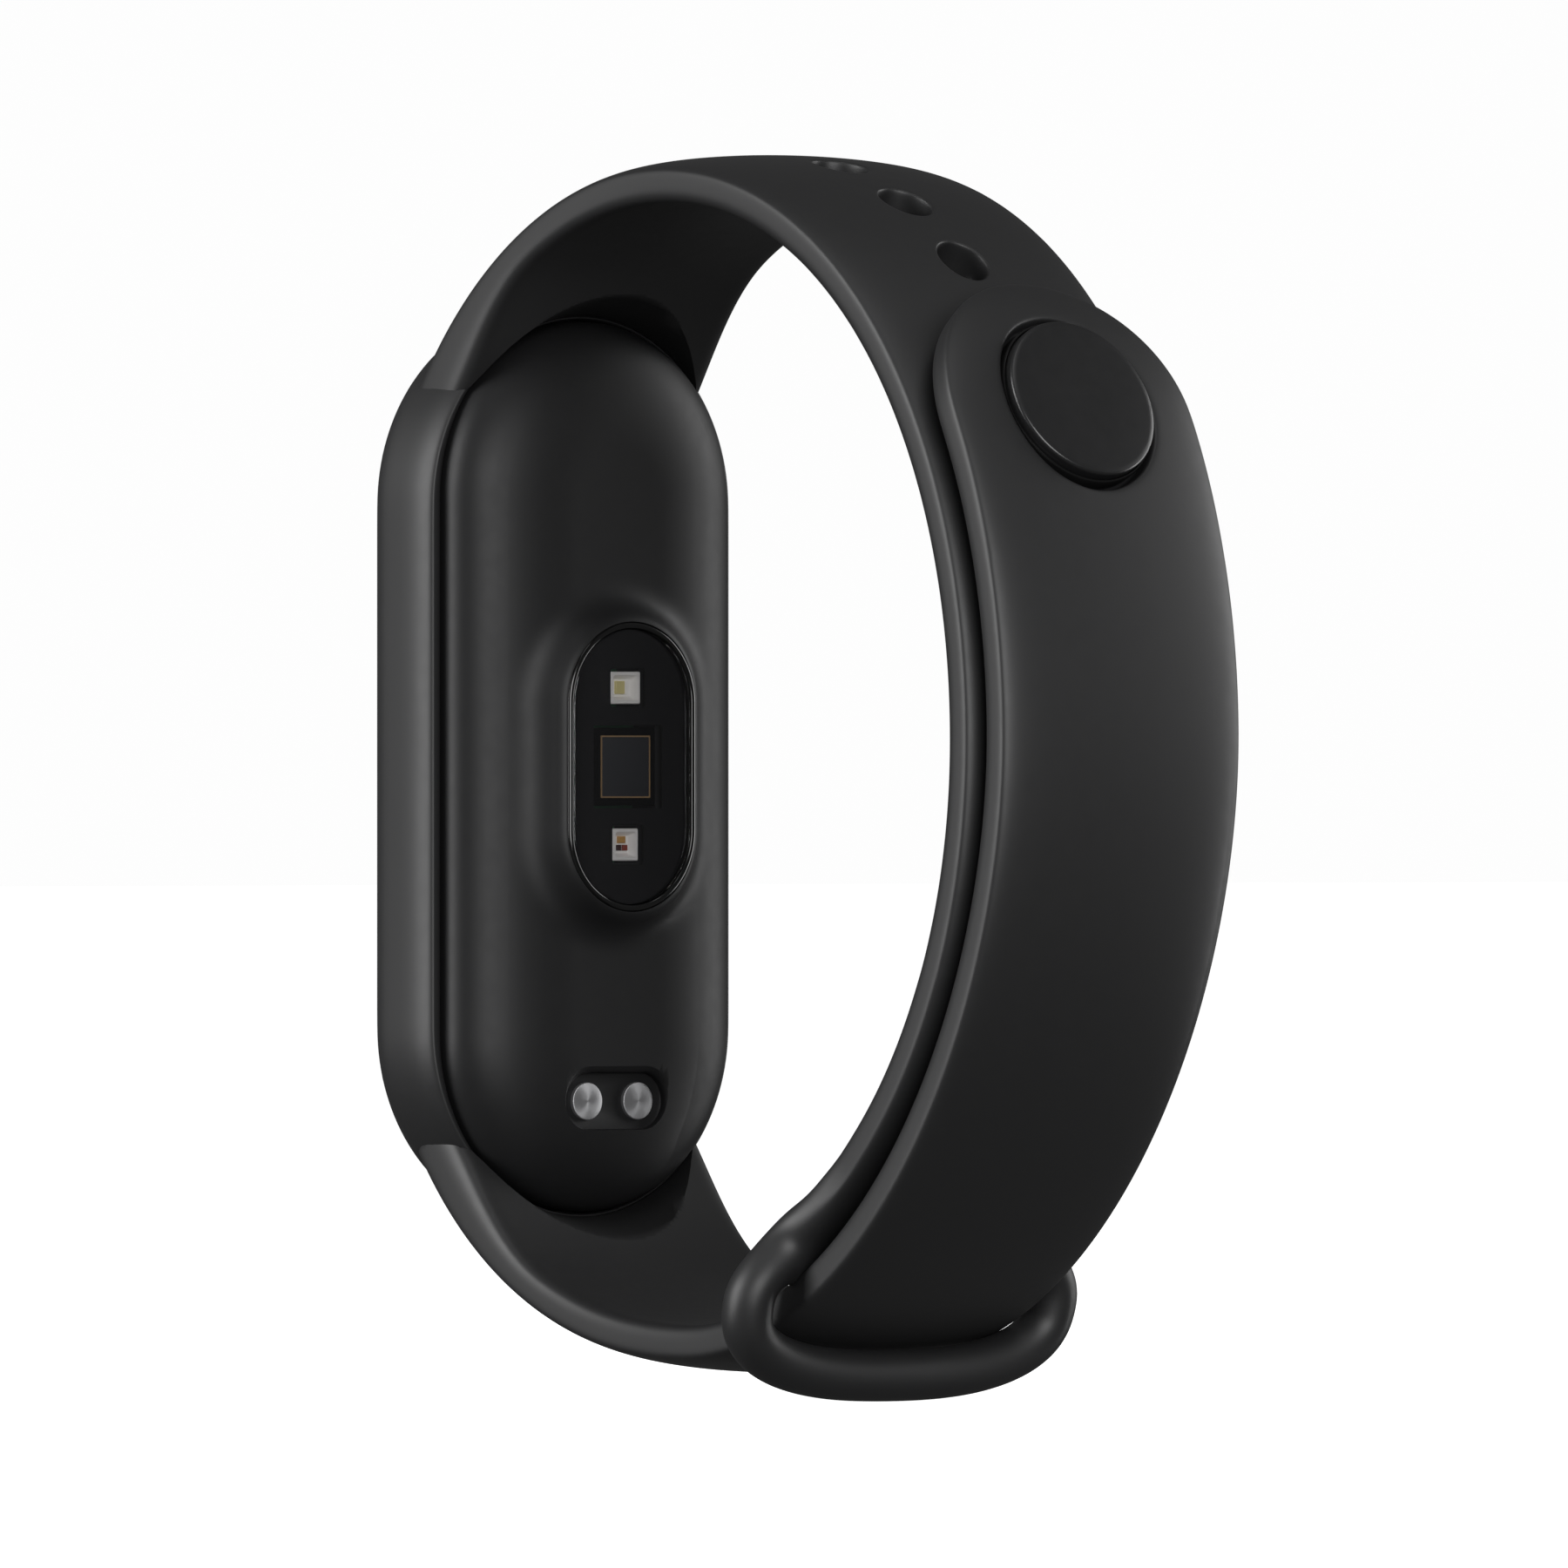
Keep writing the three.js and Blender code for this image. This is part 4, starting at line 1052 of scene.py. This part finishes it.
RUBBER = (0.0125, 0.0125, 0.013)
SHELL = (0.0105, 0.0105, 0.011)
BLACK_GLASS = (0.004, 0.004, 0.005)
PRINT, FRAME = (0.011, 0.011, 0.0115), (0.0012, 0.0012, 0.0013)
PLAIN = {  # name: (colour, roughness, other settings of surface)
    "band_rubber": (RUBBER, 0.5, dict(grain=7, bump=0.12, depth=0.012)),
    "shell_plastic": (SHELL, 0.48, dict(grain=9, Specular_IOR_Level=0.24)),
    "cover_glass": (BLACK_GLASS, 0.06, dict(bump=0.02, grain=0.8, spread=0.02)),
    "gloss_black": ((0.006, 0.006, 0.006), 0.14, dict(bump=0.02, grain=2, spread=0.04)),
    "window_print": (PRINT, 0.6, dict(bump=0.05, grain=12, Specular_IOR_Level=0.05)),
    "stud_cap": ((0.011, 0.011, 0.0115), 0.33, dict(grain=11, bump=0.08)),
    "black_plastic": ((0.012, 0.012, 0.012), 0.5, dict(grain=6, bump=0.15)),
    "display_film": ((0.008, 0.008, 0.014), 0.18, dict(bump=0.02, grain=1)),
    "chip_black": ((0.016, 0.016, 0.018), 0.55, dict(grain=10, bump=0.2, depth=0.02)),
    "battery_foil": ((0.5, 0.51, 0.53), 0.34, dict(metallic=0.9, grain=0.8, bump=0.5, depth=0.08)),
    "polyimide": ((0.42, 0.17, 0.03), 0.35, dict(grain=3, bump=0.08)),
    "ceramic": ((0.92, 0.9, 0.85), 0.45, dict(grain=7, bump=0.15, vary=0.06)),
    "silicon": ((0.03, 0.031, 0.034), 0.35, dict(grain=3, bump=0.05)),
    "foam": ((0.05, 0.05, 0.052), 0.9, dict(grain=4, bump=0.8, depth=0.08)),
    "phosphor": ((0.75, 0.66, 0.3), 0.4, dict(bump=0.2)),
    "red_die": ((0.28, 0.05, 0.03), 0.35, dict(bump=0.2)),
    "amber_die": ((0.55, 0.3, 0.08), 0.4, dict(bump=0.2)),
    "dark_die": ((0.05, 0.02, 0.02), 0.35, dict(bump=0.2)),
    "dark_frame": (FRAME, 0.6, dict(bump=0.02, grain=3, Specular_IOR_Level=0.02)),
    "gold_line": ((0.42, 0.27, 0.13), 0.45, dict(metallic=0.3, grain=6)),
}
materials = {}
for name, (colour, roughness, more) in PLAIN.items():
    materials[name] = surface(name, colour, roughness, **more).material
materials["window_glass"] = clear_glass()
materials["steel"] = brushed("brushed_steel", (0.5, 0.5, 0.51), 0.3)
materials["spun_steel"] = spun_metal()
materials["circuit_board"] = circuit_board("circuit_board", (0.012, 0.06, 0.025))
materials["brass_strip"] = brushed("brass_strip", (0.72, 0.5, 0.2), 0.3)


def place(piece, body, look, slot, *nodes):
    """Paints a piece, ties it to its body, and lets it stand for CAD nodes; slot is not used."""
    piece.data.materials.clear()
    piece.data.materials.append(materials[look])
    if body:
        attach(piece, body)
    if nodes:
        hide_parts(*nodes)


place(strap_holed, "band", "band_rubber", "band_rubber", "strap_holed", "keeper_loop")
place(strap_stud, None, "band_rubber", "band_rubber", "strap_plain", "strap_tail")
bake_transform(strap_stud)
place(holder_piece, "band", "band_rubber", "band_rubber", "capsule_holder")
place(cover, "tracker", "shell_plastic", "shell_plastic", "rear_cover")
place(glass, "tracker", "cover_glass", "cover_glass", "front_glass")
place(window, "tracker", "window_glass", "window_glass", "sensor_window")
place(mask, "tracker", "window_print", "window_glass")
place(bezel_ring, "tracker", "gloss_black", "gloss_black", "sensor_bezel")
place(upper_led[0], "tracker", "ceramic", "ceramic", "led_green")
place(upper_led[1], "tracker", "phosphor", "silicon")
place(lower_led[0], "tracker", "ceramic", "ceramic", "led_red")
place(lower_led[1], "tracker", "red_die", "silicon")
place(lower_led[2], "tracker", "dark_die", "silicon")
place(lower_led[3], "tracker", "amber_die", "silicon")
place(diode[0], "tracker", "dark_frame", "chip_black", "photodiode")
place(diode[1], "tracker", "silicon", "silicon")
place(diode[2], "tracker", "gold_line", "brass_strip")
place(cap_disc, "tail", "stud_cap", "stud_cap", "stud_cap")
place(recess_ring, "tail", "gloss_black", "gloss_black", "stud_ring")
place(post, "tail", "steel", "steel", "stud_post")
place(contacts[0], "tracker", "spun_steel", "steel", "charge_contact_left")
place(contacts[1], "tracker", "spun_steel", "steel", "charge_contact_right")

# Every node carried over from the CAD gets its slot's look.
SLOT_OF = {part["node"]: part["material_slot"] for part in frame["record"]["subparts"]}
for name, node in frame["nodes"].items():
    node.data.materials.clear()
    node.data.materials.append(materials[SLOT_OF[name]])


# ---- Camera ----
AZIMUTH = math.radians(141)
CAMERA_DISTANCE, VIEW_WIDTH = 1.5, 0.082
back = Vector((math.sin(AZIMUTH), -math.cos(AZIMUTH), 0))
right = Vector((math.cos(AZIMUTH), math.sin(AZIMUTH), 0))
up = Vector((0, 0, 1))
camera_data = bpy.data.cameras.new("camera")
camera_data.sensor_width = 36
camera_data.lens = 36 * CAMERA_DISTANCE / VIEW_WIDTH
camera_data.clip_start = 0.1
camera_data.clip_end = 20
camera = bpy.data.objects.new("camera", camera_data)
scene.collection.objects.link(camera)
FRAMING = 0.91 * MM  # the object sits a little right of and above the middle of the picture
camera.matrix_world = Matrix((
    (right.x, up.x, back.x, 0),
    (right.y, up.y, back.y, 0),
    (right.z, up.z, back.z, 0),
    (0, 0, 0, 1),
))
camera.location = back * CAMERA_DISTANCE + right * FRAMING - up * FRAMING
scene.camera = camera


# ---- Floor, backdrop light and lamps ----
def lamp(name, direction, distance, size, watts):
    data = bpy.data.lights.new(name, "AREA")
    data.shape = "RECTANGLE"
    data.size, data.size_y = size
    data.energy = watts
    obj = bpy.data.objects.new(name, data)
    scene.collection.objects.link(obj)
    obj.location = Vector(direction).normalized() * distance
    obj.rotation_euler = Vector(direction).to_track_quat("Z", "Y").to_euler()
    return obj


lamp("left_lamp", (0.93, -0.32, 0.22), 0.7, (0.35, 0.6), 6.2)
lamp("right_lamp", (-0.95, 0.2, 0.05), 0.7, (0.25, 0.6), 2.9)
lamp("top_lamp", (0.1, 0.35, 1.0), 0.7, (0.6, 0.4), 0.9)
lamp("front_fill", (0.35, 0.95, 0.1), 0.9, (0.5, 0.5), 7.5)

ROOM_LIGHT, BACKDROP, FLOOR_GLOW = 0.1, 0.985, 0.95

world = bpy.data.worlds.new("studio")
scene.world = world
world.use_nodes = True
tree = world.node_tree
dim = tree.nodes["Background"]
dim.inputs["Color"].default_value = (1, 1, 1, 1)
dim.inputs["Strength"].default_value = ROOM_LIGHT
bright = tree.nodes.new("ShaderNodeBackground")
bright.inputs["Color"].default_value = (1, 1, 1, 1)
bright.inputs["Strength"].default_value = BACKDROP
path_info = tree.nodes.new("ShaderNodeLightPath")
mix = tree.nodes.new("ShaderNodeMixShader")
tree.links.new(path_info.outputs["Is Camera Ray"], mix.inputs[0])
tree.links.new(dim.outputs[0], mix.inputs[1])
tree.links.new(bright.outputs[0], mix.inputs[2])
tree.links.new(mix.outputs[0], tree.nodes["World Output"].inputs["Surface"])
scene.view_settings.view_transform = "Standard"

floor_mesh = bpy.data.meshes.new("floor")
FLOOR_SIZE, FLOOR_Z = 6.0, cad_low[2] - 0.0002
corners = [(-1, -1), (1, -1), (1, 1), (-1, 1)]
floor_mesh.from_pydata([(x * FLOOR_SIZE, y * FLOOR_SIZE, FLOOR_Z) for x, y in corners], [], [(0, 1, 2, 3)])
floor = bpy.data.objects.new("floor", floor_mesh)
scene.collection.objects.link(floor)
floor_look = surface("floor", (0.8, 0.8, 0.8), 0.9, bump=0, vary=0.01)
floor_look.shader.inputs["Emission Color"].default_value = (1, 1, 1, 1)
floor_look.shader.inputs["Emission Strength"].default_value = FLOOR_GLOW
floor_mesh.materials.append(floor_look.material)
floor.visible_diffuse = False
floor.visible_glossy = False
